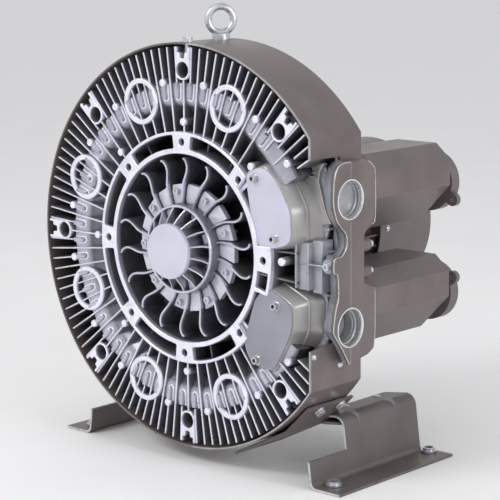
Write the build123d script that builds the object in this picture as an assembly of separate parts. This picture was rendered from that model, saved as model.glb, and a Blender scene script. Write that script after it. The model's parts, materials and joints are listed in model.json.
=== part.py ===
from build123d import *
import math
import os

os.makedirs("parts", exist_ok=True)

# Side channel blower. All sizes in millimetres.
# Working frame: the shaft is the Y axis, y = 0 is the front edge of the hood, +Y runs to the motor,
# +X is the side with the ports, +Z is up. Parts are moved to the floor frame when they are written.
AXIS_HEIGHT = 304.0
FOOT_CENTRE_Y = 145.0

# hood and casings
HOOD_R = 280.0
HOOD_SHEET = 2.5
HOOD_DEPTH = 104.0
HOOD_FLAT_X = 225.0
HOOD_OPEN_TOP = 138.0
HOOD_OPEN_BOTTOM = -140.0
CASING_R = 276.0
CASING_FLAT_X = 221.0
PARTING_Y = 56.0
CHANNEL_R = 198.0
CHANNEL_BORE = 32.0
CHANNEL_WALL = 7.0
FIN_STEP = 360.0 / 112
FIN_T = 3.0
FIN_FRONT_Y = 2.0
FIN_INNER_R = 158.0
FIN_OUTER_R = 274.0
RING_BOSS_AT = 212.0
RING_BOSS_R = 32.0
RING_BOSS_BORE = 24.5
PAD_HOLE_AT = 244.0
FLANGE_HOLE_AT = 146.0
FLANGE_R = 160.0
BOWL_R = 130.0
PIN_OUTER_AT = 227.0
PIN_INNER_AT = 173.0
RIB_COUNT = 18
RIB_FIRST_ANGLE = 10.0

# bearing bracket, shaft and bearings
BRACKET_R = 94.0
BRACKET_SCREW_AT = 78.5
BRACKET_FRONT_Y = 5.0
HUB_R = 46.0
CAP_R = 38.0
BEARING_OD = 72.0
BEARING_BORE = 30.0
BEARING_W = 19.0
BEARING_PITCH_R = 25.5
BALL_R = 6.15
BALL_COUNT = 8
FRONT_BEARING_Y = -22.0
REAR_BEARING_Y = 293.0

# impeller
IMPELLER_R = 228.0
IMPELLER_BLADES = 48
SLOT_R = 229.6
SLOT_FRONT_Y = 40.0
SLOT_REAR_Y = 72.0

# motor
FRAME_R = 98.0
MOTOR_FIN_R = 110.0
FRAME_FRONT_Y = 104.0
FRAME_REAR_Y = 286.0
COWL_R = 115.0
MOTOR_BOLT_AT = 118.5
COWL_REAR_Y = 412.0

# manifold, ports and silencers
PORT_FACE_X = 250.0
PORT_Y = 52.0
PORT_Z = 84.6
PORT_R = 26.0
UPPER_PLUG_X = 236.0
PLUG_R = 24.0
LOWER_STEP_X = 238.0
LOWER_PLUG_X = 230.0
STEP_R = 21.0
EAR_SCREW_X = 240.0
REAR_SCREW_X = 235.0
REAR_SCREW_ZS = (18.0, -18.0)
DUCT_X = 186.0
DUCT_R = 22.0
SILENCER_X = 186.0
SILENCER_Z = 78.0
SILENCER_FRONT_Y = 112.0
SILENCER_REAR_Y = 276.0
SILENCER_END_Y = 290.0
PIPE_X = 195.0
PIPE_FLANGE_R = 42.0
PIPE_BORE_R = 28.3

# feet
SHEET = 5.0
FOOT_TOP_Z = -219.0
FOOT_FRONT_Y = 14.0
FOOT_REAR_Y = 266.0
FOOT_HOLE_X = 231.0
FOOT_HOLE_PITCH_Y = 210.0
FOOT_HOLE_R = 9.0
BUSH_BORE_R = 6.5
SADDLE_BOLT_YS = (44.0, 88.0)
FOOT_BOLT_X = 162.0
FOOT_BOLT_YS = (150.0, 220.0)
FOOT_HOLE_YS = (FOOT_CENTRE_Y - FOOT_HOLE_PITCH_Y / 2, FOOT_CENTRE_Y + FOOT_HOLE_PITCH_Y / 2)


def front_plane(y):
    """Plane across the shaft at y, drawn with x to +X and y to +Z."""
    return Plane(origin=(0, y, 0), x_dir=(1, 0, 0), z_dir=(0, -1, 0))


def slab(sketch, y0, y1):
    """Sketch in X and Z, made solid from y0 back to y1."""
    return extrude(front_plane(y0) * sketch, amount=y1 - y0, dir=(0, 1, 0))


def disc(radius, y0, y1, x=0.0, z=0.0):
    return slab(Pos(x, z) * Circle(radius), y0, y1)


def tube(outer, inner, y0, y1, x=0.0, z=0.0):
    return slab(Pos(x, z) * (Circle(outer) - Circle(inner)), y0, y1)


def polar(radius, angle):
    """Point at a radius and an angle from +X towards +Z."""
    a = math.radians(angle)
    return radius * math.cos(a), radius * math.sin(a)


def along_x(sketch, x0, x1):
    """Sketch in Y and Z, made solid from x0 to x1."""
    plane = Plane(origin=(x0, 0, 0), x_dir=(0, 1, 0), z_dir=(1, 0, 0))
    return extrude(plane * sketch, amount=x1 - x0, dir=(1, 0, 0))


def along_z(sketch, z0, z1):
    return extrude(Plane.XY.offset(z0) * sketch, amount=z1 - z0, dir=(0, 0, 1))


def block(x0, x1, y0, y1, z0, z1):
    return Pos((x0 + x1) / 2, (y0 + y1) / 2, (z0 + z1) / 2) * Box(x1 - x0, y1 - y0, z1 - z0)


def torus_y(major, minor, y):
    return Pos(0, y, 0) * (Rot(X=90) * Torus(major, minor))


def radial_pin(radius, r0, r1, angle, y):
    """Cylinder pointing away from the shaft, from r0 to r1."""
    pin = Pos(0, 0, (r0 + r1) / 2) * Cylinder(radius, r1 - r0)
    return Pos(0, y, 0) * (Rot(Y=90 - angle) * pin)


def fuse(first, others):
    return first.fuse(*others) if others else first


def cut(first, others):
    return first.cut(*others)


def save(name, shape):
    """Moves a piece to the floor frame and writes it."""
    moved = Pos(0, -FOOT_CENTRE_Y, AXIS_HEIGHT) * shape
    moved.label = name
    export_step(moved, f"parts/{name}.step")


def group(name, solids):
    save(name, Compound(children=solids))


# ---------------------------------------------------------------- fastener shapes

def socket_screw(thread_r, length):
    """Cap screw with its head's seat at z = 0 and its shank down -Z."""
    head = Pos(0, 0, thread_r) * Cylinder(thread_r * 1.65, thread_r * 2)
    socket = Pos(0, 0, thread_r * 1.5) * extrude(RegularPolygon(thread_r * 0.95, 6), amount=thread_r)
    shank = Pos(0, 0, -length / 2) * Cylinder(thread_r, length)
    return (head - socket) + shank


def hex_screw(thread_r, length):
    head = extrude(RegularPolygon(thread_r * 1.75, 6, major_radius=True), amount=thread_r * 1.3)
    washer = Cylinder(thread_r * 2.0, thread_r * 0.4, align=(Align.CENTER, Align.CENTER, Align.MIN))
    shank = Pos(0, 0, -length / 2) * Cylinder(thread_r, length)
    return Pos(0, 0, thread_r * 0.4) * head + washer + shank


def button_screw(thread_r, length):
    dome = Pos(0, 0, -thread_r * 1.3) * Sphere(thread_r * 2.3)
    dome = dome & (Pos(0, 0, thread_r) * Cylinder(thread_r * 2.2, thread_r * 2))
    shank = Pos(0, 0, -length / 2) * Cylinder(thread_r, length)
    return dome + shank


def facing_front(x, y, z):
    """Places a screw made along Z so that its head faces -Y."""
    return Pos(x, y, z) * Rot(X=90)


def facing_out(angle, radius, y):
    """Places a screw so that its head faces away from the shaft."""
    px, pz = polar(radius, angle)
    return Pos(px, y, pz) * Rot(Y=90 - angle)


# ---------------------------------------------------------------- casings

def casing_outline(radius, flat_x):
    """Round outline cut flat on the port side, with the channel's own round left standing."""
    outer = Circle(radius) - Pos(flat_x + 100, 0) * Rectangle(200, 600)
    return outer + Circle(CHANNEL_R + CHANNEL_BORE + CHANNEL_WALL + 4)


def pad_angles():
    return [45.0 * k for k in range(1, 8)]


def ring_boss_angles():
    return [67.5 + 45.0 * k for k in range(6)]


def spun(points):
    """Solid of revolution about the shaft from (radius, y) points."""
    return revolve(make_face(Polyline(points, close=True)), axis=Axis.Y)


def channel_hump(side):
    """Outside of the channel on one casing: a faceted ring, side -1 to the front and +1 to the back."""
    wall = CHANNEL_BORE + CHANNEL_WALL
    steps = [(-wall, 0), (-wall, 14), (-wall * 0.72, 28), (-wall * 0.3, 37),
             (wall * 0.3, 37), (wall * 0.72, 28), (wall, 14), (wall, 0)]
    return spun([(CHANNEL_R + dr, PARTING_Y + side * dy) for dr, dy in steps])


def channel_void():
    """Air channel around the impeller's rim, left solid between the two ports."""
    return torus_y(CHANNEL_R, CHANNEL_BORE, PARTING_Y) - block(150, 260, 0, 120, -32, 32)


def is_free(angle, limit):
    return min(angle % 360, 360 - angle % 360) > limit


def plate_outline(points):
    return make_face(Polyline(points, close=True))


UPPER_PLATE = [(114, 114), (146, 125), (172, 102), (191, 69), (192, 32),
               (182, 23), (154, 16), (133, 20), (121, 71)]
LOWER_PLATE = [(108, -117), (129, -55), (140, -43), (157, -38), (194, -55),
               (193, -90), (181, -113), (161, -148), (122, -143)]
UPPER_SCREWS = [(131, 108), (165, 31)]
LOWER_SCREWS = [(167, -58), (133, -136)]


def chamber(points):
    """Box standing on the casing behind one cover plate, its walls leaning outwards to the back."""
    front = front_plane(5) * plate_outline(points)
    wall = offset(plate_outline(points), amount=-6)
    return extrude(front, amount=44, dir=(0, 1, 0), taper=-15) - slab(wall, 4, 34)


def curved_rib(angle, bow, y0, y1):
    """Stiffening rib bowed sideways along (radius, lean in degrees) points."""
    rib = Spline([polar(r, angle + lean) for r, lean in bow])
    return slab(trace(rib, line_width=4.0), y0, y1)


def rib_angles():
    return [RIB_FIRST_ANGLE + k * 360 / RIB_COUNT for k in range(RIB_COUNT)]


def bracket_screw_spots():
    return [polar(BRACKET_SCREW_AT, RIB_FIRST_ANGLE + 11 + 40 * k) for k in range(9)]


def port_clearance():
    """Room in the casings' edges for the two side ports."""
    return [along_x(Pos(PORT_Y, z) * Circle(PORT_R + 0.5), 220, 260) for z in (PORT_Z, -PORT_Z)]


def front_casing():
    outline = casing_outline(CASING_R, CASING_FLAT_X)
    body = slab(outline - Circle(BRACKET_R - 26), 46, PARTING_Y)
    body += tube(BRACKET_R, BRACKET_R - 26, BRACKET_FRONT_Y + 5, 48)
    body += tube(FLANGE_R, BOWL_R, -4, 6) + tube(BOWL_R + 6, BOWL_R, 0, 48)
    body += channel_hump(-1)
    fins = []
    for k in range(112):
        angle = k * FIN_STEP
        if is_free(angle, 44.0):
            length = FIN_OUTER_R - FIN_INNER_R
            strip = Pos((FIN_OUTER_R + FIN_INNER_R) / 2, 0) * Rectangle(length, FIN_T)
            fins.append(slab(Rot(Z=angle) * strip, FIN_FRONT_Y, 48))
    for angle in pad_angles():
        pad = Pos(246, 0) * Rectangle(34, 27)
        fins.append(slab(Rot(Z=angle) * pad, 0, 50))
        fins.append(disc(9, -4, 8, *polar(FLANGE_HOLE_AT, angle)))
        fins.append(disc(5.5, 0, 30, *polar(PIN_INNER_AT, angle)))
        for side in (-9.64, 9.64):
            if is_free(angle + side, 44.0):
                fins.append(disc(5.5, 0, 40, *polar(PIN_OUTER_AT, angle + side)))
    for angle in ring_boss_angles():
        fins.append(disc(RING_BOSS_R, 0, 30, *polar(RING_BOSS_AT, angle)))
    bow = ((BRACKET_R - 2.5, -0.9), (105, -4.0), (114, -4.4), (123, -2.6), (BOWL_R + 2, -0.8))
    for angle in rib_angles():
        fins.append(curved_rib(angle, bow, 0, 44))
    for angle in (90, -45, -135):
        fins.append(radial_pin(9, 246, 275, angle, SADDLE_BOLT_YS[0] if angle < 0 else 12))
    fins.append(chamber(UPPER_PLATE))
    fins.append(chamber(LOWER_PLATE))
    fins.append(block(220, EAR_SCREW_X + 7.5, 46, PARTING_Y, -10, 10))
    body = fuse(body, fins)
    holes = [channel_void(), disc(SLOT_R, SLOT_FRONT_Y + 8.5, PARTING_Y + 5),
             tube(SLOT_R, 163, SLOT_FRONT_Y, PARTING_Y + 5), disc(BRACKET_R + 0.3, -10, BRACKET_FRONT_Y + 5),
             disc(14, 10, 50, 160, 72), disc(14, 10, 50, 152, -98), disc(3.3, 40, 60, EAR_SCREW_X, 0)]
    for angle in ring_boss_angles():
        holes.append(disc(RING_BOSS_BORE, -2, 12, *polar(RING_BOSS_AT, angle)))
    for angle in pad_angles():
        holes.append(disc(11, -2, 30, *polar(PAD_HOLE_AT, angle)))
        holes.append(disc(5, 20, 60, *polar(PAD_HOLE_AT, angle)))
        holes.append(disc(3.5, -6, 12, *polar(FLANGE_HOLE_AT, angle)))
    for angle in (90, -45, -135):
        holes.append(radial_pin(4, 258, 280, angle, SADDLE_BOLT_YS[0] if angle < 0 else 12))
    for x, z in UPPER_SCREWS + LOWER_SCREWS:
        holes.append(disc(3, 0, 24, x, z))
    for x, z in bracket_screw_spots():
        holes.append(disc(3, 0, BRACKET_FRONT_Y + 22, x, z))
    for points in (UPPER_PLATE, LOWER_PLATE):
        holes.append(slab(plate_outline(points), -10, 5))
    return cut(body, holes + port_clearance())


def screw_posts():
    """Posts inside the two chambers that take the cover plates' screws."""
    return [tube(7, 3, 5, 34, x, z) for x, z in UPPER_SCREWS + LOWER_SCREWS]


def rear_casing():
    outline = casing_outline(CASING_R, CASING_FLAT_X)
    body = slab(outline - Circle(36), PARTING_Y, 74)
    body += tube(50, 36, 72, FRAME_FRONT_Y) + tube(125, 84, 72, FRAME_FRONT_Y)
    body += channel_hump(1)
    body += disc(28, 76, FRAME_FRONT_Y, DUCT_X, PORT_Z) + disc(28, 76, FRAME_FRONT_Y, DUCT_X, -PORT_Z)
    fins = []
    for k in range(56):
        angle = (k + 0.5) * 2 * FIN_STEP
        if is_free(angle, 40.0):
            length = FIN_OUTER_R - 124
            strip = Pos((FIN_OUTER_R + 124) / 2, 0) * Rectangle(length, 4)
            fins.append(slab(Rot(Z=angle) * strip, 72, 96))
    for k in range(8):
        fins.append(slab(Rot(Z=45 * k + 22.5) * (Pos(67, 0) * Rectangle(40, 6)), 72, 96))
    for angle in pad_angles():
        fins.append(disc(11, 72, 92, *polar(PAD_HOLE_AT, angle)))
    for angle in (-45, -135):
        fins.append(radial_pin(9, 246, 275, angle, SADDLE_BOLT_YS[1]))
    fins.append(radial_pin(13, 240, 275, 90, 78))
    fins.append(block(220, EAR_SCREW_X + 7.5, PARTING_Y, 74, -10, 10))
    body = fuse(body, fins)
    holes = [channel_void(), disc(SLOT_R, PARTING_Y - 5, SLOT_REAR_Y - 8.5),
             tube(SLOT_R, 163, PARTING_Y - 5, SLOT_REAR_Y), disc(36, 60, 110),
             disc(DUCT_R, 60, 110, DUCT_X, PORT_Z), disc(DUCT_R, 60, 110, DUCT_X, -PORT_Z),
             disc(3, 50, 72, EAR_SCREW_X, 0)]
    for z in REAR_SCREW_ZS:
        holes.append(disc(3, PARTING_Y + 2, 110, REAR_SCREW_X, z))
    for angle in pad_angles():
        holes.append(disc(5, 50, 88, *polar(PAD_HOLE_AT, angle)))
    for angle in (-45, -135):
        holes.append(radial_pin(4, 258, 280, angle, SADDLE_BOLT_YS[1]))
    holes.append(radial_pin(5, 250, 280, 90, 78))
    for angle in (45, 135, 225, 315):
        holes.append(disc(4, 86, 110, *polar(MOTOR_BOLT_AT, angle)))
    return cut(body, holes + port_clearance())


def casing_bolts():
    return [facing_front(x, 30, z) * socket_screw(5, 50)
            for x, z in (polar(PAD_HOLE_AT, a) for a in pad_angles())]


def cover_plate(points, screws, y0, y1):
    plate = slab(plate_outline(points), y0, y1)
    for x, z in screws:
        plate -= disc(3.3, y0 - 1, y1 + 1, x, z)
    return plate


def cover_screws():
    return [facing_front(x, 0, z) * socket_screw(3, 22) for x, z in UPPER_SCREWS + LOWER_SCREWS]


# ---------------------------------------------------------------- front bearing bracket

def bearing_bracket():
    rear_y = FRONT_BEARING_Y + BEARING_W
    body = tube(BRACKET_R, 24, BRACKET_FRONT_Y, BRACKET_FRONT_Y + 5) + tube(62, 56, -13, BRACKET_FRONT_Y)
    body += tube(HUB_R, BEARING_OD / 2, FRONT_BEARING_Y - 6, rear_y) + tube(HUB_R, 24, rear_y, BRACKET_FRONT_Y)
    web = make_face(Polyline([(44, -24), (58, -10), (58, BRACKET_FRONT_Y), (44, BRACKET_FRONT_Y)], close=True))
    ribs = [Rot(Y=45 * k) * (Pos(0, 0, -2.5) * extrude(web, amount=5)) for k in range(8)]
    bow = ((61, 3.2), (78, 1.3), (BRACKET_R - 0.5, -1.1))
    for angle in rib_angles():
        ribs.append(curved_rib(angle, bow, 0, BRACKET_FRONT_Y + 1))
    body = fuse(body, ribs)
    return cut(body, [disc(3.3, -2, 12, x, z) for x, z in bracket_screw_spots()])


def bracket_screws():
    return [facing_front(x, BRACKET_FRONT_Y, z) * socket_screw(3, 20) for x, z in bracket_screw_spots()]


def hub_cap():
    """Flat round disc that closes the front bearing, with a spigot in the bearing's bore."""
    y = FRONT_BEARING_Y - 6
    cap = disc(CAP_R, y - 6, y) + tube(BEARING_OD / 2 - 0.2, 30, y, y + 5)
    return chamfer(cap.edges().group_by(Axis.Y)[0], 1.0)


def race_groove(y):
    return torus_y(BEARING_PITCH_R, BALL_R + 0.08, y + BEARING_W / 2)


def outer_race(y):
    return tube(BEARING_OD / 2, 29.6, y, y + BEARING_W) - race_groove(y)


def inner_race(y):
    return tube(21.4, BEARING_BORE / 2, y, y + BEARING_W) - race_groove(y)


def balls(y):
    return [Pos(px, y + BEARING_W / 2, pz) * Sphere(BALL_R)
            for px, pz in (polar(BEARING_PITCH_R, 360 * k / BALL_COUNT) for k in range(BALL_COUNT))]


def ball_cage(y):
    cage = tube(27.6, 23.4, y + 3, y + BEARING_W - 3)
    for k in range(BALL_COUNT):
        cage -= radial_pin(BALL_R + 0.1, 20, 32, 360 * k / BALL_COUNT, y + BEARING_W / 2)
    return cage


# ---------------------------------------------------------------- rotor

def shaft():
    rod = disc(15, FRONT_BEARING_Y - 2, 20) + disc(19, FRONT_BEARING_Y + BEARING_W, 20) + disc(20, 20, 62)
    rod += disc(24, 62, 270) + disc(19, 270, REAR_BEARING_Y) + disc(15, 270, 316) + disc(12, 316, 366)
    rod -= block(-4, 4, 36, 60, 16, 21)
    return chamfer(rod.edges().group_by(Axis.Y)[0] + rod.edges().group_by(Axis.Y)[-1], 1.5)


def impeller_key():
    return block(-4, 4, 36, 60, 16, 23)


def impeller():
    body = tube(45, 20, 32, 62) + tube(170, 20, 50, 62) + tube(IMPELLER_R, 168, 53, 59)
    blades = []
    for k in range(IMPELLER_BLADES):
        angle = (k + 0.5) * 360 / IMPELLER_BLADES
        strip = Pos((IMPELLER_R + 168) / 2 - 0.5, 0) * Rectangle(IMPELLER_R - 169, 3)
        blades.append(slab(Rot(Z=angle) * strip, 41.2, 70.8))
    for k in range(8):
        rib = Pos(106, 0) * Rectangle(128, 5)
        blades.append(slab(Rot(Z=45 * k) * rib, 49.2, 50.5))
    body = fuse(body, blades)
    return body - block(-4, 4, 36, 90, 16, 23)


def impeller_nut():
    nut = slab(RegularPolygon(30, 6, major_radius=True), 20.5, 32)
    return nut - disc(20, 18, 34)


def motor_rotor():
    core = tube(58, 24, 150, 250)
    rings = tube(56, 40, 140, 150) + tube(56, 40, 250, 260)
    return core + rings


def cooling_fan():
    body = tube(24, 12, 326, 362) + tube(60, 12, 326, 329)
    blades = []
    for k in range(9):
        strip = Pos(60, 0) * Rectangle(78, 3)
        blades.append(slab(Rot(Z=40 * k) * strip, 327, 356))
    return fuse(body, blades) - disc(12, 320, 370)


# ---------------------------------------------------------------- motor

def shaft_seal():
    return tube(36, 24.08, 88, 98)


def motor_frame():
    body = tube(FRAME_R, 92, FRAME_FRONT_Y, FRAME_REAR_Y) + tube(125, 92, FRAME_FRONT_Y, FRAME_FRONT_Y + 9)
    fins = []
    for k in range(44):
        strip = Pos((MOTOR_FIN_R + FRAME_R) / 2 - 1, 0) * Rectangle(MOTOR_FIN_R - FRAME_R + 2, 2.5)
        fins.append(slab(Rot(Z=(k + 0.5) * 360 / 44) * strip, FRAME_FRONT_Y + 8, FRAME_REAR_Y))
    fins.append(block(-112, -94, 150, 230, -36, 36))
    body = fuse(body, fins)
    holes = [disc(92, 100, 300)]
    for angle in (45, 135, 225, 315):
        holes.append(disc(4, 100, 120, *polar(MOTOR_BOLT_AT, angle)))
    holes.append(block(-120, -80, 160, 220, -26, 26))
    return cut(body, holes)


def motor_bolts():
    spots = [polar(MOTOR_BOLT_AT, a) for a in (45, 135, 225, 315)]
    return [Pos(x, FRAME_FRONT_Y + 9, z) * Rot(X=-90) * hex_screw(4, 24) for x, z in spots]


def stator_core():
    return tube(92, 58.6, 145, 255)


def stator_windings():
    return [tube(86, 62, 124, 145), tube(86, 62, 255, 276)]


def rear_shield():
    body = tube(104, BEARING_OD / 2, FRAME_REAR_Y, FRAME_REAR_Y + 8)
    body += tube(HUB_R, BEARING_OD / 2, FRAME_REAR_Y, REAR_BEARING_Y + BEARING_W)
    body += tube(BEARING_OD / 2 + 1, 27, FRAME_REAR_Y, REAR_BEARING_Y - 3)
    body += tube(HUB_R, 20, REAR_BEARING_Y + BEARING_W, REAR_BEARING_Y + BEARING_W + 4)
    for angle in (0, 90, 180, 270):
        lug = Pos(104, 0) * Rectangle(17, 16)
        body += slab(Rot(Z=angle) * lug, FRAME_REAR_Y + 0.5, 312)
        body -= radial_pin(2.5, 98, 118, angle, 303)
    return body


def wave_spring():
    return tube(35.7, 30.2, REAR_BEARING_Y - 3, REAR_BEARING_Y)


def fan_cowl():
    shell = tube(COWL_R, COWL_R - 2, FRAME_REAR_Y, COWL_REAR_Y - 6)
    profile = Polyline([(COWL_R - 2, COWL_REAR_Y - 6), (COWL_R, COWL_REAR_Y - 6), (COWL_R - 6, COWL_REAR_Y),
                        (30, COWL_REAR_Y), (30, COWL_REAR_Y - 2), (COWL_R - 7, COWL_REAR_Y - 2)], close=True)
    shell += revolve(make_face(profile), axis=Axis.Y)
    shell += disc(31, COWL_REAR_Y - 2, COWL_REAR_Y)
    holes = []
    for ring_r in (40, 54, 68, 82, 96):
        arc = Circle(ring_r + 4.5) - Circle(ring_r - 4.5)
        for angle in (0, 45, 90, 135):
            arc -= Rot(Z=angle) * Rectangle(260, 6)
        holes += [slab(face, COWL_REAR_Y - 4, COWL_REAR_Y + 2) for face in arc.faces()]
    for angle in (0, 90, 180, 270):
        holes.append(radial_pin(2.5, 108, 120, angle, 303))
    return cut(shell, holes)


def cowl_screws():
    return [facing_out(a, COWL_R, 303) * button_screw(2.5, 12) for a in (0, 90, 180, 270)]


# ---------------------------------------------------------------- terminal box

def terminal_box():
    body = block(-176, -112, 146, 234, -42, 42) - block(-173, -116, 150, 230, -38, 38)
    body -= block(-180, -170, 150, 230, -38, 38)
    body -= block(-120, -100, 162, 218, -24, 24)
    body += block(-176, -164, 146, 154, -42, -34) + block(-176, -164, 226, 234, -42, -34)
    body += block(-176, -164, 146, 154, 34, 42) + block(-176, -164, 226, 234, 34, 42)
    for y in (150, 230):
        for z in (-38, 38):
            body -= along_x(Pos(y, z) * Circle(2), -177, -162)
    return body - Pos(-144, 190, -42) * Cylinder(10, 20)


def terminal_lid():
    lid = block(-186, -176, 145, 235, -43, 43) - block(-184, -175, 152, 228, -36, 36)
    for y in (150, 230):
        for z in (-38, 38):
            lid -= along_x(Pos(y, z) * Circle(2.3), -190, -170)
    return lid


def lid_screws():
    return [Pos(-186, y, z) * Rot(Y=-90) * button_screw(2, 22) for y in (150, 230) for z in (-38, 38)]


def terminal_board():
    board = block(-122, -116, 168, 212, -22, 22)
    for y in (178, 190, 202):
        for z in (-10, 10):
            board += along_x(Pos(y, z) * Circle(2.5), -134, -122)
    return board


def gland_body():
    body = Pos(-144, 190, -46) * extrude(RegularPolygon(14, 6), amount=4)
    body += Pos(-144, 190, -38) * Cylinder(10, 14)
    body += Pos(-144, 190, -54) * Cylinder(11, 16)
    return body - Pos(-144, 190, -48) * Cylinder(7, 60)


def gland_nut():
    dome = Pos(-144, 190, -66) * extrude(RegularPolygon(14, 6), amount=18)
    dome -= Pos(-144, 190, -54) * Cylinder(11, 16.2)
    return dome - Pos(-144, 190, -60) * Cylinder(7, 40)


# ---------------------------------------------------------------- manifold and silencers

def manifold_outline():
    """Side face: a round lobe about each port, a narrow waist with the screw ear, a sloping tail below."""
    points = [(38, 133), (26, 128), (19, 114), (18, PORT_Z), (26, 58), (42, 42), (45, 32), (42, 20), (33, 11),
              (18.6, 11), (18.6, -10), (27.7, -11), (27.7, -44), (18, -PORT_Z), (20, -92), (49.5, -134),
              (106, -134), (106, 133)]
    face = plate_outline(points)
    for z in (PORT_Z, -PORT_Z):
        face += Pos(PORT_Y, z) * Circle(34.5)
    return face


def manifold():
    casing_edge = casing_outline(CASING_R, CASING_FLAT_X)
    body = along_x(manifold_outline(), 196, PORT_FACE_X)
    cove = [(190, 0), (250, 0), (250, 17.5), (238, 21), (226, 28), (218, 40), (213, 60), (190, 60)]
    body -= Pos(0, 0, 11) * along_z(plate_outline(cove), 0, 140)
    body -= Pos(0, 0, -150) * along_z(plate_outline(cove), 0, 139)
    body -= disc(CHANNEL_R + CHANNEL_BORE + CHANNEL_WALL + 4.3, 16, 96)
    body -= slab(casing_edge, 0, 106) - block(196, 400, -10, 120, -134, 134)
    body -= slab(casing_edge, 46, 74)
    body -= disc(237, 10, 46) + block(190, EAR_SCREW_X + 7.8, 45.7, 74.3, -10.3, 10.3)
    body += slab(silencer_outline(SILENCER_Z), 104, SILENCER_FRONT_Y)
    body += slab(silencer_outline(-SILENCER_Z), 104, SILENCER_FRONT_Y)
    body -= disc(132, 90, 120)
    body -= slab(casing_edge, 90, 104) - block(212, 400, 80, 120, -134, 134)
    holes = [along_x(Pos(PORT_Y, PORT_Z) * Circle(PORT_R), UPPER_PLUG_X, 260),
             along_x(Pos(PORT_Y, PORT_Z) * Circle(PLUG_R), UPPER_PLUG_X - 4, 260),
             along_x(Pos(PORT_Y, -PORT_Z) * Circle(PORT_R), LOWER_STEP_X, 260),
             along_x(Pos(PORT_Y, -PORT_Z) * Circle(STEP_R), LOWER_PLUG_X - 4, 260),
             disc(3.3, 10, 46, EAR_SCREW_X, 0)]
    for z in (PORT_Z, -PORT_Z):
        holes.append(disc(DUCT_R, 60, 120, DUCT_X, z))
        holes.append(disc(DUCT_R + 6.3, 60, 104.3, DUCT_X, z))
    for z in REAR_SCREW_ZS:
        holes.append(disc(3.3, 70, 120, REAR_SCREW_X, z))
    return cut(body, holes)


def silencer_outline(zc, shrink=0.0):
    """Six-sided section: small top corners, upright sides, long sloping lower corners."""
    points = [(-34, 57), (34, 57), (58, 36), (58, 0), (10, -50), (-10, -50), (-58, 0), (-58, 36)]
    face = Pos(SILENCER_X, zc) * make_face(Polyline(points, close=True))
    return offset(face, amount=-shrink) if shrink else face


def silencer_housing(zc):
    body = slab(silencer_outline(zc), SILENCER_FRONT_Y, SILENCER_REAR_Y)
    tail = front_plane(SILENCER_REAR_Y) * silencer_outline(zc)
    tip = front_plane(SILENCER_END_Y) * silencer_outline(zc, 14)
    body += loft([tail.face(), tip.face()])
    body -= slab(silencer_outline(zc, 4), SILENCER_FRONT_Y - 1, SILENCER_REAR_Y)
    return body - disc(34, 260, 300, PIPE_X, zc)


def silencer_foam(zc):
    body = slab(silencer_outline(zc, 4.2), SILENCER_FRONT_Y + 1, SILENCER_REAR_Y - 8)
    return body - disc(30, 100, 300, PIPE_X, zc)


def silencer_core(zc):
    """Perforated tube that the air runs through."""
    body = tube(29.8, 28.3, SILENCER_FRONT_Y + 1, SILENCER_REAR_Y + 10, PIPE_X, zc)
    holes = []
    for y in range(130, 262, 22):
        for angle in (0, 45, 90, 135):
            hole = Pos(PIPE_X, y, zc) * (Rot(Y=angle) * Cylinder(4, 80))
            holes.append(hole)
    return cut(body, holes)


def pipe_flange(zc, side):
    """Round threaded pipe flange with two screw ears."""
    face = Circle(PIPE_FLANGE_R)
    for s in (1, -1):
        face += Pos(42.5 * s, -23 * s * side) * Circle(9)
        face += Rot(Z=-28.2 * side) * Pos(23 * s, 0) * Rectangle(46, 18)
    face -= Circle(PIPE_BORE_R)
    for s in (1, -1):
        face -= Pos(42.5 * s, -23 * s * side) * Circle(3.3)
    body = slab(Pos(PIPE_X, zc) * face, SILENCER_END_Y, SILENCER_END_Y + 8)
    return body + tube(PIPE_FLANGE_R, PIPE_BORE_R, SILENCER_END_Y + 8, SILENCER_END_Y + 18, PIPE_X, zc)


def pipe_flange_screws():
    screws = []
    for zc, side in ((SILENCER_Z, 1), (-SILENCER_Z, -1)):
        for s in (1, -1):
            spot = Pos(PIPE_X + 42.5 * s, SILENCER_END_Y + 8, zc - 23 * s * side)
            screws.append(spot * Rot(X=-90) * socket_screw(3, 8))
    return screws


def port_plugs():
    """Blanking discs at the bottom of the two side ports."""
    upper = along_x(Pos(PORT_Y, PORT_Z) * Circle(PLUG_R), UPPER_PLUG_X - 4, UPPER_PLUG_X)
    lower = along_x(Pos(PORT_Y, -PORT_Z) * Circle(STEP_R), LOWER_PLUG_X - 4, LOWER_PLUG_X)
    return [upper, lower]


def manifold_screws():
    rear = [Pos(REAR_SCREW_X, 106, z) * Rot(X=-90) * socket_screw(3, 48) for z in REAR_SCREW_ZS]
    return [facing_front(EAR_SCREW_X, 18.6, 0) * socket_screw(3, 48)] + rear


# ---------------------------------------------------------------- hood

def hood_outline(radius, flat_x):
    return Circle(radius) - Pos(flat_x + 200, 0) * Rectangle(400, 700)


def hood():
    inner = hood_outline(HOOD_R - HOOD_SHEET, HOOD_FLAT_X - HOOD_SHEET)
    body = slab(hood_outline(HOOD_R, HOOD_FLAT_X) - inner, 0, HOOD_DEPTH)
    lip = hood_outline(HOOD_R - 1, HOOD_FLAT_X - 1) - hood_outline(HOOD_R - 14, HOOD_FLAT_X - 14)
    body += slab(lip, HOOD_DEPTH - HOOD_SHEET, HOOD_DEPTH)
    body -= block(190, 300, -10, 120, HOOD_OPEN_BOTTOM, HOOD_OPEN_TOP)
    body -= radial_pin(4.2, 260, 290, 90, 12)
    body -= radial_pin(5.3, 260, 290, 90, 78)
    for angle in (-45, -135):
        for y in SADDLE_BOLT_YS:
            body -= radial_pin(4.2, 260, 290, angle, y)
    for y, z in hood_screw_spots():
        body -= along_x(Pos(y, z) * Circle(2.5), 200, 240)
    return body


def hood_screw_spots():
    return [(16, 148), (92, 148), (16, -148), (62, -148), (92, -148)]


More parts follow.
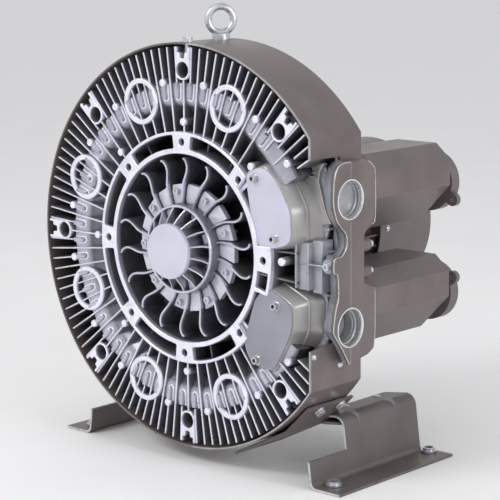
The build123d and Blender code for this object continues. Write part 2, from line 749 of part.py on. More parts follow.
def hood_screws():
    return [Pos(HOOD_FLAT_X, y, z) * Rot(Y=90) * button_screw(2.5, 3.4) for y, z in hood_screw_spots()]


def hood_top_bolt():
    return facing_out(90, HOOD_R, 12) * hex_screw(4, 20)


def eyebolt():
    """M10 lifting eye: ring 45 outside and 25 inside, collar 25, ring turned towards the ports."""
    ring = Rot(Z=50) * (Rot(X=90) * Torus(17.5, 5.0))
    body = Pos(0, 78, HOOD_R + 27) * ring
    body += Pos(0, 78, HOOD_R + 4) * Cylinder(12.5, 8)
    body += Pos(0, 78, HOOD_R - 12) * Cylinder(5, 25)
    return body


# ---------------------------------------------------------------- feet and saddles

def sided(points, side):
    """The same outline on the right (+1) or the left (-1) of the shaft."""
    return [(x * side, z) for x, z in points]


def side_block(side, x0, x1, y0, y1, z0, z1):
    return block(min(x0 * side, x1 * side), max(x0 * side, x1 * side), y0, y1, z0, z1)


def saddle(side):
    """Bent strap that hugs the hood's lower corner, with a tongue at the back for the foot."""
    lower = [(76, -276.0), (167.6, -230.2), (205, -192.8)]
    upper = [(208.6, -196.3), (169.2, -235.7), (77.5, -281.6)]
    body = slab(plate_outline(sided(lower + upper, side)), 15, 110)
    body += side_block(side, 140, 187, 105, 245, FOOT_TOP_Z, FOOT_TOP_Z + SHEET)
    for y in SADDLE_BOLT_YS:
        body -= radial_pin(4.2, 270, 300, -45 if side > 0 else -135, y)
    for y in FOOT_BOLT_YS:
        body -= along_z(Pos(FOOT_BOLT_X * side, y) * Circle(5.1), -230, -200)
    return body


def saddle_bolts():
    return [facing_out(a, 286.4, y) * hex_screw(4, 26) for a in (-45, -135) for y in SADDLE_BOLT_YS]


def foot(side):
    """Bent foot rail: floor flange outward, leaning web, round bend and top flange inward."""
    t = SHEET
    corners = [(262, -304 + t / 2), (214, -304 + t / 2), (203, FOOT_TOP_Z - t / 2), (146, FOOT_TOP_Z - t / 2)]
    path = FilletPolyline(*sided(corners, side), radius=[5.6, 14])
    body = slab(trace(path, line_width=t), FOOT_FRONT_Y, FOOT_REAR_Y)
    body -= side_block(side, 120, 300, FOOT_FRONT_Y - 5, 92, -266, -200)
    body -= side_block(side, 100, 300, 262, 280, -290, -200)
    body -= side_block(side, 100, 300, 246, 280, FOOT_TOP_Z - 14, FOOT_TOP_Z + 5)
    notch = [(120, 80), (200, 80), (204, 92), (150, 150), (120, 150)]
    body -= along_z(plate_outline(sided(notch, side)), -240, -200)
    for y in FOOT_HOLE_YS:
        body -= along_z(Pos(FOOT_HOLE_X * side, y) * Circle(FOOT_HOLE_R), -310, -290)
    for y in FOOT_BOLT_YS:
        body -= along_z(Pos(FOOT_BOLT_X * side, y) * Circle(5.1), -230, -200)
    for y in (120, 205):
        gusset = [(190, FOOT_TOP_Z - t / 2), (206, FOOT_TOP_Z - t / 2), (209, -246)]
        body += slab(plate_outline(sided(gusset, side)), y - 3, y + 3)
    return body


def foot_bolts():
    spots = [(FOOT_BOLT_X * side, y) for side in (1, -1) for y in FOOT_BOLT_YS]
    bolts = [Pos(x, y, FOOT_TOP_Z + SHEET) * hex_screw(5, 26) for x, y in spots]
    for x, y in spots:
        nut = Pos(x, y, FOOT_TOP_Z - SHEET - 8) * extrude(RegularPolygon(8.5, 6), amount=8)
        bolts.append(nut - Pos(x, y, FOOT_TOP_Z - SHEET - 4) * Cylinder(5, 20))
    return bolts


def foot_bushings():
    """Flanged steel bushings in the four floor holes."""
    bushes = []
    for x, y in [(FOOT_HOLE_X * side, y) for side in (1, -1) for y in FOOT_HOLE_YS]:
        bush = Cylinder(FOOT_HOLE_R, 11, align=(Align.CENTER, Align.CENTER, Align.MIN))
        bush += Pos(0, 0, SHEET) * Cylinder(11.4, 2.5, align=(Align.CENTER, Align.CENTER, Align.MIN))
        bush -= Pos(0, 0, 5) * Cylinder(BUSH_BORE_R, 20)
        bushes.append(Pos(x, y, -304) * bush)
    return bushes


# ---------------------------------------------------------------- write every piece

save("front_casing", front_casing() + screw_posts())
save("rear_casing", rear_casing())
group("casing_bolts", casing_bolts())
save("cover_plate_upper", cover_plate(UPPER_PLATE, UPPER_SCREWS, 0, 4))
save("cover_plate_lower", cover_plate(LOWER_PLATE, LOWER_SCREWS, 0, 4))
group("cover_gaskets", [cover_plate(UPPER_PLATE, UPPER_SCREWS, 4, 5),
                        cover_plate(LOWER_PLATE, LOWER_SCREWS, 4, 5)])
group("cover_screws", cover_screws())
save("bearing_bracket", bearing_bracket())
group("bracket_screws", bracket_screws())
save("hub_cap", hub_cap())
save("front_outer_race", outer_race(FRONT_BEARING_Y))
save("front_inner_race", inner_race(FRONT_BEARING_Y))
save("front_ball_cage", ball_cage(FRONT_BEARING_Y))
group("front_balls", balls(FRONT_BEARING_Y))
save("rear_outer_race", outer_race(REAR_BEARING_Y))
save("rear_inner_race", inner_race(REAR_BEARING_Y))
save("rear_ball_cage", ball_cage(REAR_BEARING_Y))
group("rear_balls", balls(REAR_BEARING_Y))
save("shaft", shaft())
save("impeller_key", impeller_key())
save("impeller", impeller())
save("impeller_nut", impeller_nut())
save("motor_rotor", motor_rotor())
save("cooling_fan", cooling_fan())
save("shaft_seal", shaft_seal())
save("motor_frame", motor_frame())
group("motor_bolts", motor_bolts())
save("stator_core", stator_core())
group("stator_windings", stator_windings())
save("rear_shield", rear_shield())
save("wave_spring", wave_spring())
save("fan_cowl", fan_cowl())
group("cowl_screws", cowl_screws())
save("terminal_box", terminal_box())
save("terminal_lid", terminal_lid())
group("lid_screws", lid_screws())
save("terminal_board", terminal_board())
save("gland_body", gland_body())
save("gland_nut", gland_nut())
save("manifold", manifold())
save("silencer_upper", silencer_housing(SILENCER_Z))
save("silencer_lower", silencer_housing(-SILENCER_Z))
group("silencer_foams", [silencer_foam(SILENCER_Z), silencer_foam(-SILENCER_Z)])
group("silencer_cores", [silencer_core(SILENCER_Z), silencer_core(-SILENCER_Z)])
save("pipe_flange_upper", pipe_flange(SILENCER_Z, 1))
save("pipe_flange_lower", pipe_flange(-SILENCER_Z, -1))
group("pipe_flange_screws", pipe_flange_screws())
group("port_plugs", port_plugs())
group("manifold_screws", manifold_screws())
save("hood", hood())
group("hood_screws", hood_screws())
save("hood_top_bolt", hood_top_bolt())
save("eyebolt", eyebolt())
save("saddle_right", saddle(1))
save("saddle_left", saddle(-1))
group("saddle_bolts", saddle_bolts())
save("foot_right", foot(1))
save("foot_left", foot(-1))
group("foot_bolts", foot_bolts())
group("foot_bushings", foot_bushings())
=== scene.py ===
import json
import math

import bmesh
import bpy
from mathutils import Matrix, Vector


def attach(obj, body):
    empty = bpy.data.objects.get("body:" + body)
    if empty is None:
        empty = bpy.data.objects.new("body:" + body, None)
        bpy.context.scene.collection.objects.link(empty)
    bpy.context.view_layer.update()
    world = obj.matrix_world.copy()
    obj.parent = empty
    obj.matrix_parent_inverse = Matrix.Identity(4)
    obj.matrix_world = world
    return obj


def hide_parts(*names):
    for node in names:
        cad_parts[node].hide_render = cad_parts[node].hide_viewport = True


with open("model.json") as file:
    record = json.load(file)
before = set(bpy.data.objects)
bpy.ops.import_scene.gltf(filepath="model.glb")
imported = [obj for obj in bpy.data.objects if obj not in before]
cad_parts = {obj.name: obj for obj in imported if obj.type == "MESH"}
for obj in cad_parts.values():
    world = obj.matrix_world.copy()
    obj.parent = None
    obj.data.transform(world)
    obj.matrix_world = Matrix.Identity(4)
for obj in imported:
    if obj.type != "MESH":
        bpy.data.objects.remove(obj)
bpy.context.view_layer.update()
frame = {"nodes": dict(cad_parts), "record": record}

# Side channel blower. Sizes here are in millimetres in the machine's own frame: the shaft is the
# Y axis, y = 0 is the front edge of the hood, +X is the port side. at() moves them to the floor frame.
# Angles are in degrees from +X towards +Z.
MM = 0.001
AXIS_HEIGHT = 304.0
FOOT_CENTRE_Y = 145.0

HOOD_R = 280.0
HOOD_SHEET = 2.5
HOOD_DEPTH = 104.0
HOOD_FLAT_X = 225.0
HOOD_OPEN_TOP = 138.0

FIN_COUNT = 112
FIN_STEP = 360.0 / FIN_COUNT
FIN_FRONT_Y = 2.0
FIN_ROOT_Y = 46.0
RING_FIN_Y = 3.0
SHORT_FIN_LOW_Y = 8.5
FIN_INNER_R = 158.0
FIN_OUTER_R = 274.0
SHORT_FIN_R = 205.0
SHORT_FIN_LOW_R = 226.0
PORT_FIN_R = 238.0
PAD_FIN_R = 230.0
FREE_ANGLE = 32.0
PORT_ANGLE = 37.0
COVER_ANGLE = 45.5
CREST_ANGLE = 42.0
SHELL_ANGLE = 30.0
SHELL_FLAT_X = 220.0
SHELL_R = 276.0
BACK_WALL_R = 275.9
RING_AT = 212.0
RING_FLOOR_R = 28.5
PAD_HOLE_AT = 243.0
PAD_HOLE_R = 11.0
RIM_NUT_AT = 267.5
FLANGE_FRONT_Y = -4.0
FLANGE_R = 160.0
FLANGE_HOLE_AT = 146.0
BOWL_R = 130.0
PIN_R = 5.4
PIN_OUTER_AT = 227.0
PIN_OUTER_LEAN = 9.64
PIN_INNER_AT = 173.0
RIB_COUNT = 18
RIB_STEP = 360.0 / RIB_COUNT
RIB_FIRST_ANGLE = 10.0
HUB_WEBS = 16
HUB_WEB_STEP = 360.0 / HUB_WEBS
HUB_WEB_ANGLE = 11.0
BRACKET_FRONT_Y = 5.0
HUB_FRONT_Y = -34.0

PORT_Y = 52.0
PORT_Z = 84.6
PORT_R = 26.0
SILENCER_X = 186.0
SILENCER_Z = 78.0

SHARP_ANGLE = math.radians(32)

PAD_ANGLES = [45.0 * k for k in range(1, 8)]
RING_ANGLES = [67.5 + 45.0 * k for k in range(6)]
UPPER_PLATE = [(114, 114), (146, 125), (172, 102), (191, 69), (192, 32), (182, 23), (154, 16), (133, 20),
               (121, 71)]
LOWER_PLATE = [(108, -117), (129, -55), (140, -43), (157, -38), (194, -55), (193, -90), (181, -113),
               (161, -148), (122, -143)]


def at(x, y, z):
    """Machine millimetres to floor-frame metres."""
    return Vector((x * MM, (y - FOOT_CENTRE_Y) * MM, (z + AXIS_HEIGHT) * MM))


def polar(radius, angle):
    a = math.radians(angle)
    return radius * math.cos(a), radius * math.sin(a)


# ---- mesh building

def add_skin(bm, rows, closed=True):
    count = len(rows[0])
    for a, b in zip(rows, rows[1:]):
        for i in range(count if closed else count - 1):
            j = (i + 1) % count
            bm.faces.new((a[i], a[j], b[j], b[i]))


def add_rings(bm, rings, closed=True):
    """Skin between rows of points: capped where each row is a closed ring, or a sheet of open lines."""
    rows = [[bm.verts.new(at(*p)) for p in ring] for ring in rings]
    add_skin(bm, rows, closed)
    if closed:
        bm.faces.new(list(reversed(rows[0])))
        bm.faces.new(rows[-1])


def along_y(x, z):
    return lambda u, v, depth: (x + u, depth, z + v)


def along_x(y, z):
    return lambda u, v, depth: (depth, y + u, z + v)


def along_z(x, y):
    return lambda u, v, depth: (x + u, y + v, depth)


def add_lathe(bm, profile, steps=96, centre=(0.0, 0.0), place=None):
    """Closed (radius, depth) profile turned about an axis: Y through a centre (x, z) unless placed."""
    place = place or along_y(*centre)
    rows = [[bm.verts.new(at(*place(r * c, r * s, depth))) for r, depth in profile]
            for c, s in circle(1.0, steps=steps)]
    add_skin(bm, rows + rows[:1])


def add_knob(bm, centre, radius, y0, y1, rounding, steps, taper):
    """Round post along Y at (x, z), its front end at y0 rounded off."""
    rows = []
    for r, y in ((radius - rounding, y0), (radius - rounding * 0.3, y0 + rounding * 0.3),
                 (radius, y0 + rounding), (radius + taper, y1)):
        rows.append([(x, y, z) for x, z in circle(r, centre, steps)])
    add_rings(bm, rows)


def add_prism(bm, outline, y0, y1, taper=0.0, edge=0.8):
    """Solid with an (x, z) outline between two depths; its front edge is broken by a small bevel."""
    rows = []
    for grow, y in ((-edge, y0), (0.0, y0 + edge), (taper, y1)):
        rows.append([(x, y, z) for x, z in grown(outline, grow)])
    add_rings(bm, rows)


def grown(outline, amount):
    """Outline moved outwards by an amount, corner by corner."""
    area = sum(a[0] * b[1] - b[0] * a[1] for a, b in zip(outline, outline[1:] + outline[:1]))
    turn = 1.0 if area > 0 else -1.0
    points = []
    for before, here, after in zip(outline[-1:] + outline[:-1], outline, outline[1:] + outline[:1]):
        u = Vector((here[0] - before[0], here[1] - before[1])).normalized()
        v = Vector((after[0] - here[0], after[1] - here[1])).normalized()
        n = Vector((u.y + v.y, -u.x - v.x)) * turn
        n.normalize()
        along = max(0.35, n.dot(Vector((u.y, -u.x)) * turn))
        points.append((here[0] + n.x * amount / along, here[1] + n.y * amount / along))
    return points


def rounded(outline, radius, steps):
    """Outline with its corners rounded by small arcs."""
    points = []
    for before, here, after in zip(outline[-1:] + outline[:-1], outline, outline[1:] + outline[:1]):
        p, h, q = Vector(before), Vector(here), Vector(after)
        back, ahead = p - h, q - h
        reach = min(radius, back.length * 0.45, ahead.length * 0.45)
        a, b = h + back.normalized() * reach, h + ahead.normalized() * reach
        for k in range(steps + 1):
            t = k / steps
            c = a * (1 - t) ** 2 + h * 2 * t * (1 - t) + b * t ** 2
            points.append((c.x, c.y))
    return points


def add_box(bm, x0, x1, y0, y1, z0, z1):
    add_rings(bm, [[(x0, y, z0), (x1, y, z0), (x1, y, z1), (x0, y, z1)] for y in (y0, y1)])


def add_object(name, data):
    thing = bpy.data.objects.new(name, data)
    bpy.context.scene.collection.objects.link(thing)
    return thing


def add_mesh(name, bm):
    mesh = bpy.data.meshes.new(name)
    bm.to_mesh(mesh)
    bm.free()
    return add_object(name, mesh)


def evaluated_mesh(thing):
    """Mesh of an object with its modifiers or bevel applied."""
    bpy.context.view_layer.update()
    graph = bpy.context.evaluated_depsgraph_get()
    return bpy.data.meshes.new_from_object(thing.evaluated_get(graph))


def make_piece(name, bm, material, body="housing", bevel=0.0, smooth=True, slot=None, replaces=()):
    bmesh.ops.recalc_face_normals(bm, faces=bm.faces)
    piece = add_mesh(name, bm)
    dress(piece, material, bevel, smooth)
    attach(piece, body)
    if replaces:
        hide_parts(*replaces)
    return piece


def make_cast(name, bm, material, **how):
    return make_piece(name, bm, material, slot="cast_aluminium", **how)


def make_painted(name, bm, material, **how):
    return make_piece(name, bm, material, slot="painted_grey", **how)


def dress(piece, material, bevel=0.0, smooth=True):
    piece.data.materials.clear()
    piece.data.materials.append(material)
    if bevel:
        edge = piece.modifiers.new("edges", "BEVEL")
        edge.width = bevel * MM
        edge.segments = 2
        edge.limit_method = "ANGLE"
        edge.angle_limit = SHARP_ANGLE
    if smooth:
        for face in piece.data.polygons:
            face.use_smooth = True
        piece.data.set_sharp_from_angle(angle=SHARP_ANGLE)


def add_spline(curve, places):
    spline = curve.splines.new("POLY")
    spline.points.add(len(places) - 1)
    for point, place in zip(spline.points, places):
        point.co = (*place, 1.0)
    return spline


def curve_mesh(name, curve):
    shape = add_object(name + ".curve", curve)
    mesh = evaluated_mesh(shape)
    bpy.data.objects.remove(shape)
    return mesh


def make_plate(name, outers, holes, y0, y1, material, edge, slot="cast_aluminium", replaces=()):
    """Flat plate with holes, its edges rounded: outlines are lists of (x, z) points."""
    curve = bpy.data.curves.new(name, "CURVE")
    curve.dimensions = "2D"
    curve.fill_mode = "BOTH"
    curve.extrude = ((y1 - y0) / 2 - edge) * MM
    curve.bevel_depth = edge * MM
    curve.bevel_resolution = 2
    curve.offset = -edge * MM
    for outline in outers + holes:
        add_spline(curve, [(x * MM, z * MM, 0.0) for x, z in outline]).use_cyclic_u = True
    mesh = curve_mesh(name, curve)
    middle = at(0, (y0 + y1) / 2, 0)
    for vertex in mesh.vertices:
        x, z, depth = vertex.co
        vertex.co = (middle.x + x, middle.y - depth, middle.z + z)
    bm = bmesh.new()
    bm.from_mesh(mesh)
    bmesh.ops.remove_doubles(bm, verts=bm.verts, dist=1e-6)
    make_piece(name, bm, material, slot=slot, replaces=replaces)


def cut(piece, cutter_bm):
    """Takes the cutter's volume out of a piece."""
    bmesh.ops.recalc_face_normals(cutter_bm, faces=cutter_bm.faces)
    cutter = add_mesh("cutter", cutter_bm)
    modifier = piece.modifiers.new("cut", "BOOLEAN")
    modifier.object = cutter
    modifier.solver = "EXACT"
    shape = evaluated_mesh(piece)
    piece.modifiers.remove(modifier)
    piece.data = shape
    bpy.data.objects.remove(cutter)
    piece.data.set_sharp_from_angle(angle=SHARP_ANGLE)


def circle(radius, centre=(0.0, 0.0), steps=48):
    return [(centre[0] + radius * math.cos(2 * math.pi * k / steps),
             centre[1] + radius * math.sin(2 * math.pi * k / steps)) for k in range(steps)]


def sector(r0, r1, a0, a1, steps):
    """Closed piece of a ring between two radii and two angles."""
    outer = [polar(r1, a0 + (a1 - a0) * k / steps) for k in range(steps + 1)]
    inner = [polar(r0, a1 - (a1 - a0) * k / steps) for k in range(steps + 1)]
    return outer + inner


# ---- materials

def new_material(name):
    material = bpy.data.materials.new(name)
    material.use_nodes = True
    tree = material.node_tree
    return material, tree.nodes, tree.links, tree.nodes["Principled BSDF"]


def add_noise(nodes, links, coordinates, scale, detail, stretch):
    mapping = nodes.new("ShaderNodeMapping")
    mapping.inputs["Scale"].default_value = stretch
    noise = nodes.new("ShaderNodeTexNoise")
    noise.inputs["Scale"].default_value = scale
    noise.inputs["Detail"].default_value = detail
    links.new(coordinates, mapping.inputs["Vector"])
    links.new(mapping.outputs["Vector"], noise.inputs["Vector"])
    return noise.outputs["Fac"]


def add_ramp(nodes, links, source, stops):
    ramp = nodes.new("ShaderNodeValToRGB")
    while len(ramp.color_ramp.elements) < len(stops):
        ramp.color_ramp.elements.new(0.5)
    for element, (place, colour) in zip(ramp.color_ramp.elements, stops):
        element.position = place
        element.color = (*colour, 1.0)
    links.new(source, ramp.inputs["Fac"])
    return ramp.outputs["Color"]


def add_range(nodes, links, source, low, high, start=0.3, end=0.7):
    spread = nodes.new("ShaderNodeMapRange")
    spread.inputs["From Min"].default_value = start
    spread.inputs["From Max"].default_value = end
    spread.inputs["To Min"].default_value = low
    spread.inputs["To Max"].default_value = high
    links.new(source, spread.inputs["Value"])
    return spread.outputs["Result"]


def add_mix(nodes, links, factor, first, second, blend="MIX"):
    mix = nodes.new("ShaderNodeMix")
    mix.data_type = "RGBA"
    mix.blend_type = blend
    for socket, value in ((mix.inputs[0], factor), (mix.inputs[6], first), (mix.inputs[7], second)):
        if isinstance(value, bpy.types.NodeSocket):
            links.new(value, socket)
        elif isinstance(value, float):
            socket.default_value = value
        else:
            socket.default_value = (*value, 1.0)
    return mix.outputs[2]


def add_bump(nodes, links, shader, source, strength, distance=0.0004):
    bump = nodes.new("ShaderNodeBump")
    bump.inputs["Strength"].default_value = strength
    bump.inputs["Distance"].default_value = distance
    links.new(source, bump.inputs["Height"])
    links.new(bump.outputs["Normal"], shader.inputs["Normal"])


def add_depth_shade(nodes, links, coordinates, stops):
    """Painted shade by depth behind the front: stops are (machine y in millimetres, brightness)."""
    split = nodes.new("ShaderNodeSeparateXYZ")
    links.new(coordinates, split.inputs["Vector"])
    near, far = stops[0][0], stops[-1][0]
    along = add_range(nodes, links, split.outputs["Y"], 0.0, 1.0,
                      (near - FOOT_CENTRE_Y) * MM, (far - FOOT_CENTRE_Y) * MM)
    return add_ramp(nodes, links, along, [((y - near) / (far - near), (v, v, v * 1.06)) for y, v in stops])


def finish(name, dark, light, roughness, metallic=0.0, grain=60.0, bump=0.15, fine=900.0,
           stretch=(1.0, 1.0, 1.0), coat=0.0, depth=None):
    """Two-tone procedural finish with grain, uneven gloss and fine relief; depth paints shade into
    recesses.
    """
    material, nodes, links, shader = new_material(name)
    place = nodes.new("ShaderNodeTexCoord").outputs["Object"]
    clouds = add_noise(nodes, links, place, grain, 5.0, stretch)
    speckle = add_noise(nodes, links, place, fine, 2.0, stretch)
    colour = add_ramp(nodes, links, clouds, [(0.32, dark), (0.68, light)])
    colour = add_mix(nodes, links, add_range(nodes, links, speckle, 0.0, 0.35, 0.5, 0.75), colour, dark)
    # Painted shade: the colour is multiplied by a grey that darkens with depth behind the front.
    if depth:
        colour = add_mix(nodes, links, 1.0, colour, add_depth_shade(nodes, links, place, depth), "MULTIPLY")
    links.new(colour, shader.inputs["Base Color"])
    gloss = add_range(nodes, links, clouds, roughness - 0.06, roughness + 0.08)
    links.new(gloss, shader.inputs["Roughness"])
    shader.inputs["Metallic"].default_value = metallic
    shader.inputs["Coat Weight"].default_value = coat
    add_bump(nodes, links, shader, speckle, bump)
    return material


# Painted shade by depth, as (machine y in millimetres, brightness): recesses are painted darker where shade
# falls, while the fronts of the fins and the channel's crest stay brightest as a painted highlight.
FIN_DEPTH_SHADE = [(-6, 1.0), (3.1, 1.0), (4.4, 0.36), (14, 0.20), (30, 0.075), (46, 0.014)]
HUMP_DEPTH_SHADE = [(2, 0.95), (5.6, 0.86), (6.8, 0.66), (8.0, 0.36), (9.2, 0.26), (12, 0.34), (20, 0.40),
              (30, 0.26), (36, 0.07), (46, 0.012)]
BOWL_DEPTH_SHADE = [(-14, 1.0), (-1, 0.95), (4, 0.36), (20, 0.24), (44, 0.17)]
HUB_DEPTH_SHADE = [(-36, 1.0), (-12, 0.92), (-9, 0.42), (6, 0.20), (34, 0.04)]
CONE_DEPTH_SHADE = [(-32, 0.60), (-20, 0.36), (-6, 0.20), (10, 0.10), (34, 0.03)]

# Copies of the same cast aluminium, each darkened by its own painted shade by depth; the channel's copy is
# also darker overall, as painted shade between the fins.
CAST = finish("cast_aluminium", (0.78, 0.78, 0.83), (0.90, 0.90, 0.95), 0.32, 0.6, depth=FIN_DEPTH_SHADE)
CAST_HUMP = finish("cast_aluminium_channel", (0.50, 0.50, 0.55), (0.60, 0.60, 0.66), 0.27, 0.8, bump=0.10,
                   depth=HUMP_DEPTH_SHADE)
CAST_BOWL = finish("cast_aluminium_bowl", (0.56, 0.57, 0.64), (0.74, 0.75, 0.82), 0.30, 0.75,
                   depth=BOWL_DEPTH_SHADE)
# Lighter copy of the cast aluminium for the lips round the crest's slots: a painted highlight.
CAST_LIP_HIGHLIGHT = finish("cast_aluminium_lip_highlight", (0.86, 0.86, 0.91), (0.94, 0.94, 0.99), 0.30, 0.45)
CAST_CONE = finish("cast_aluminium_cone", (0.58, 0.58, 0.64), (0.74, 0.74, 0.80), 0.32, 0.7,
                   depth=CONE_DEPTH_SHADE)
CAST_HUB = finish("cast_aluminium_hub", (0.58, 0.58, 0.64), (0.74, 0.74, 0.80), 0.32, 0.7, depth=HUB_DEPTH_SHADE)
CAST_PALE = finish("cast_aluminium_pale", (0.58, 0.58, 0.66), (0.72, 0.72, 0.80), 0.40, 0.4)
CAST_REAR = finish("cast_aluminium_rear", (0.34, 0.34, 0.37), (0.48, 0.48, 0.52), 0.45, 0.5)
MACHINED = finish("machined_edge", (0.78, 0.78, 0.80), (0.90, 0.90, 0.92), 0.25, 0.8, grain=120.0,
                  bump=0.08)
PAINT = finish("grey_metallic_paint", (0.142, 0.117, 0.116), (0.184, 0.153, 0.151), 0.42, 0.30, grain=22.0,
               bump=0.12, fine=1600.0, coat=0.05)
PAINT_DARK = finish("grey_paint_dark", (0.118, 0.098, 0.096), (0.150, 0.128, 0.126), 0.42, 0.25,
                    grain=22.0, bump=0.12, fine=1600.0)
CHAMBER_PAINT = finish("chamber_paint", (0.31, 0.30, 0.295), (0.42, 0.405, 0.40), 0.34, 0.35, grain=22.0,
                       bump=0.12, fine=1600.0, coat=0.2)
CAST_PORT = finish("cast_aluminium_port", (0.30, 0.31, 0.34), (0.44, 0.45, 0.49), 0.30, 0.5, grain=40.0)
# Light grey for thin lines along edges and seams: a painted highlight.
EDGE_HIGHLIGHT_PAINT = finish("paint_edge_highlight", (0.52, 0.51, 0.51), (0.68, 0.67, 0.67), 0.30, 0.7, grain=90.0)
PORT_INSIDE = finish("port_casting", (0.30, 0.31, 0.32), (0.42, 0.43, 0.44), 0.34, 0.6, grain=60.0)
PLATE = finish("bare_plate", (0.55, 0.55, 0.66), (0.64, 0.64, 0.75), 0.42, 0.35, grain=14.0, bump=0.06)
PLATE_SHADE = finish("bare_plate_shade", (0.27, 0.27, 0.32), (0.34, 0.34, 0.40), 0.42, 0.35, grain=14.0,
                     bump=0.06)
STEEL = finish("turned_steel", (0.50, 0.50, 0.51), (0.68, 0.68, 0.70), 0.28, 0.9, grain=80.0, bump=0.06)
BLACK_STEEL = finish("black_steel", (0.030, 0.030, 0.034), (0.060, 0.060, 0.066), 0.38, 0.7)
ZINC = finish("zinc_plate", (0.48, 0.50, 0.55), (0.72, 0.74, 0.80), 0.30, 0.85, grain=140.0, bump=0.05)
COPPER = finish("enamelled_copper", (0.42, 0.15, 0.06), (0.62, 0.26, 0.12), 0.35, 0.8, grain=260.0,
                bump=0.3, stretch=(1.0, 0.25, 1.0))
RUBBER = finish("black_rubber", (0.018, 0.018, 0.019), (0.034, 0.034, 0.035), 0.72, grain=200.0, bump=0.2)
PLASTIC = finish("black_plastic", (0.020, 0.020, 0.022), (0.040, 0.040, 0.042), 0.48, grain=180.0, bump=0.2)
FOAM = finish("acoustic_foam", (0.055, 0.055, 0.058), (0.110, 0.110, 0.115), 0.90, grain=420.0, bump=0.8,
              fine=520.0)

SLOT_MATERIALS = {
    "cast_aluminium": CAST_REAR, "painted_grey": PAINT, "bare_sheet": PLATE, "steel": STEEL, "zinc": ZINC,
    "copper": COPPER, "rubber": RUBBER, "foam": FOAM, "plastic": PLASTIC,
}

# ---- carried CAD nodes

NODE_EDGE = 0.5
NODE_MATERIALS = {
    "front_casing": CAST, "bearing_bracket": CAST_PALE, "hub_cap": PLATE, "cover_plate_lower": PLATE_SHADE,
    "casing_bolts": BLACK_STEEL, "port_plugs": PLATE, "foot_right": PAINT_DARK, "foot_left": PAINT_DARK,
}
for entry in frame["record"]["subparts"]:
    node = entry["node"]
    dress(frame["nodes"][node], NODE_MATERIALS.get(node, SLOT_MATERIALS[entry["material_slot"]]), NODE_EDGE)

# ---- front casing

def headings(path):
    """Unit direction of a path of (x, z) points at each of them."""
    around = zip(path[:1] + path[:-1], path[1:] + path[-1:])
    return [Vector((after[0] - before[0], after[1] - before[1])).normalized() for before, after in around]


def add_blade(bm, path, half_width, fronts, back, root_half=None):
    """Thin wall along a path of (x, z) points, with its own front depth at each point."""
    root = root_half or half_width
    rings = []
    for (x, z), along, front in zip(path, headings(path), fronts):
        side = Vector((-along.y, along.x))
        section = ((-root, back), (-half_width, front + 0.9), (-half_width * 0.45, front),
                   (half_width * 0.45, front), (half_width, front + 0.9), (root, back))
        rings.append([(x + side.x * w, y, z + side.y * w) for w, y in section])
    add_rings(bm, rings)


def fin_front(x, z, short, radius):
    """Depth of a fin's front edge: further back inside the ring bosses and where a short fin begins."""
    for angle in RING_ANGLES:
        cx, cz = polar(RING_AT, angle)
        if math.hypot(x - cx, z - cz) < RING_FLOOR_R:
            return RING_FIN_Y
    if short and radius < SHORT_FIN_LOW_R:
        return SHORT_FIN_LOW_Y
    return FIN_FRONT_Y


def add_fins(bm):
    """Radial fins, long and short in turn, that begin further out at the covers and end early at pads."""
    for k in range(FIN_COUNT):
        angle = k * FIN_STEP
        off_port = min(angle, 360.0 - angle)
        if off_port < FREE_ANGLE:
            continue
        short = k % 2 == 1
        start = SHORT_FIN_R if short else FIN_INNER_R
        if off_port < COVER_ANGLE:
            start = SHORT_FIN_R if off_port > PORT_ANGLE else PORT_FIN_R
        flat_end = SHELL_FLAT_X / math.cos(math.radians(min(off_port, 60.0)))
        end = PAD_FIN_R if k % (FIN_COUNT // 8) == 0 else min(FIN_OUTER_R, flat_end)
        radii = []
        radius = start
        while radius < end - 0.5:
            radii.append(radius)
            radius += 3.0 if 180.0 < radius < 244.0 else 8.0
        radii.append(end)
        path = [polar(r, angle) for r in radii]
        fronts = [fin_front(x, z, short, r) for (x, z), r in zip(path, radii)]
        if short:
            fronts[0] += 2.0
        add_blade(bm, path, 1.15, fronts, FIN_ROOT_Y, root_half=1.9)


def add_band(bm, profile, start, stop, steps):
    """Open (radius, y) profile swept between two angles, as a closed thin body."""
    rings = []
    for k in range(steps + 1):
        angle = start + (stop - start) * k / steps
        ring = []
        for radius, y in profile:
            x, z = polar(radius, angle)
            ring.append((min(x, SHELL_FLAT_X), y, z))
        rings.append(ring)
    add_rings(bm, rings)


# Channel's crest as (radius, y); a slot in it and the lip round the slot as (radius, sideways).
HUMP = [(161, 52), (161, 30), (168, 28), (174, 25), (181, 19.5), (187, 14.5), (191.5, 10.6), (195.5, 7.8),
        (201.5, 5.9), (208, 5.3), (218, 5.6), (225, 6.6), (228.5, 10), (230, 20), (231, 45), (274, 45.5),
        (SHELL_R, 44.0), (SHELL_R, 52)]
SLOT_HALF = 3.1
SLOT_FLOOR_Y = 8.8
SLOT_LINE = [(223.5, SLOT_HALF), (208.0, SLOT_HALF), (205.6, SLOT_HALF * 0.8), (204.6, 0),
             (205.6, -SLOT_HALF * 0.8), (208.0, -SLOT_HALF), (223.5, -SLOT_HALF)]
LIP_LINE = [(224, 4.5), (216, 4.6), (209, 4.6), (204.6, 4), (202.2, 2), (201.8, 0), (202.2, -2),
            (204.6, -4), (209, -4.6), (216, -4.6), (224, -4.5)]
LIP_FRONTS = [5.4, 4.0, 3.7, 3.9, 4.3, 4.4, 4.3, 3.9, 3.7, 4.0, 5.4]


def crest_angles():
    """Angles of the slots in the channel's crest, one between each pair of long fins."""
    angles = [k * FIN_STEP for k in range(1, FIN_COUNT, 2)]
    return [angle for angle in angles if min(angle, 360.0 - angle) > CREST_ANGLE]


def crest_line(line, angle):
    """Points of a (radius, sideways millimetres) line laid across the crest at an angle."""
    return [polar(r, angle + math.degrees(side / r)) for r, side in line]


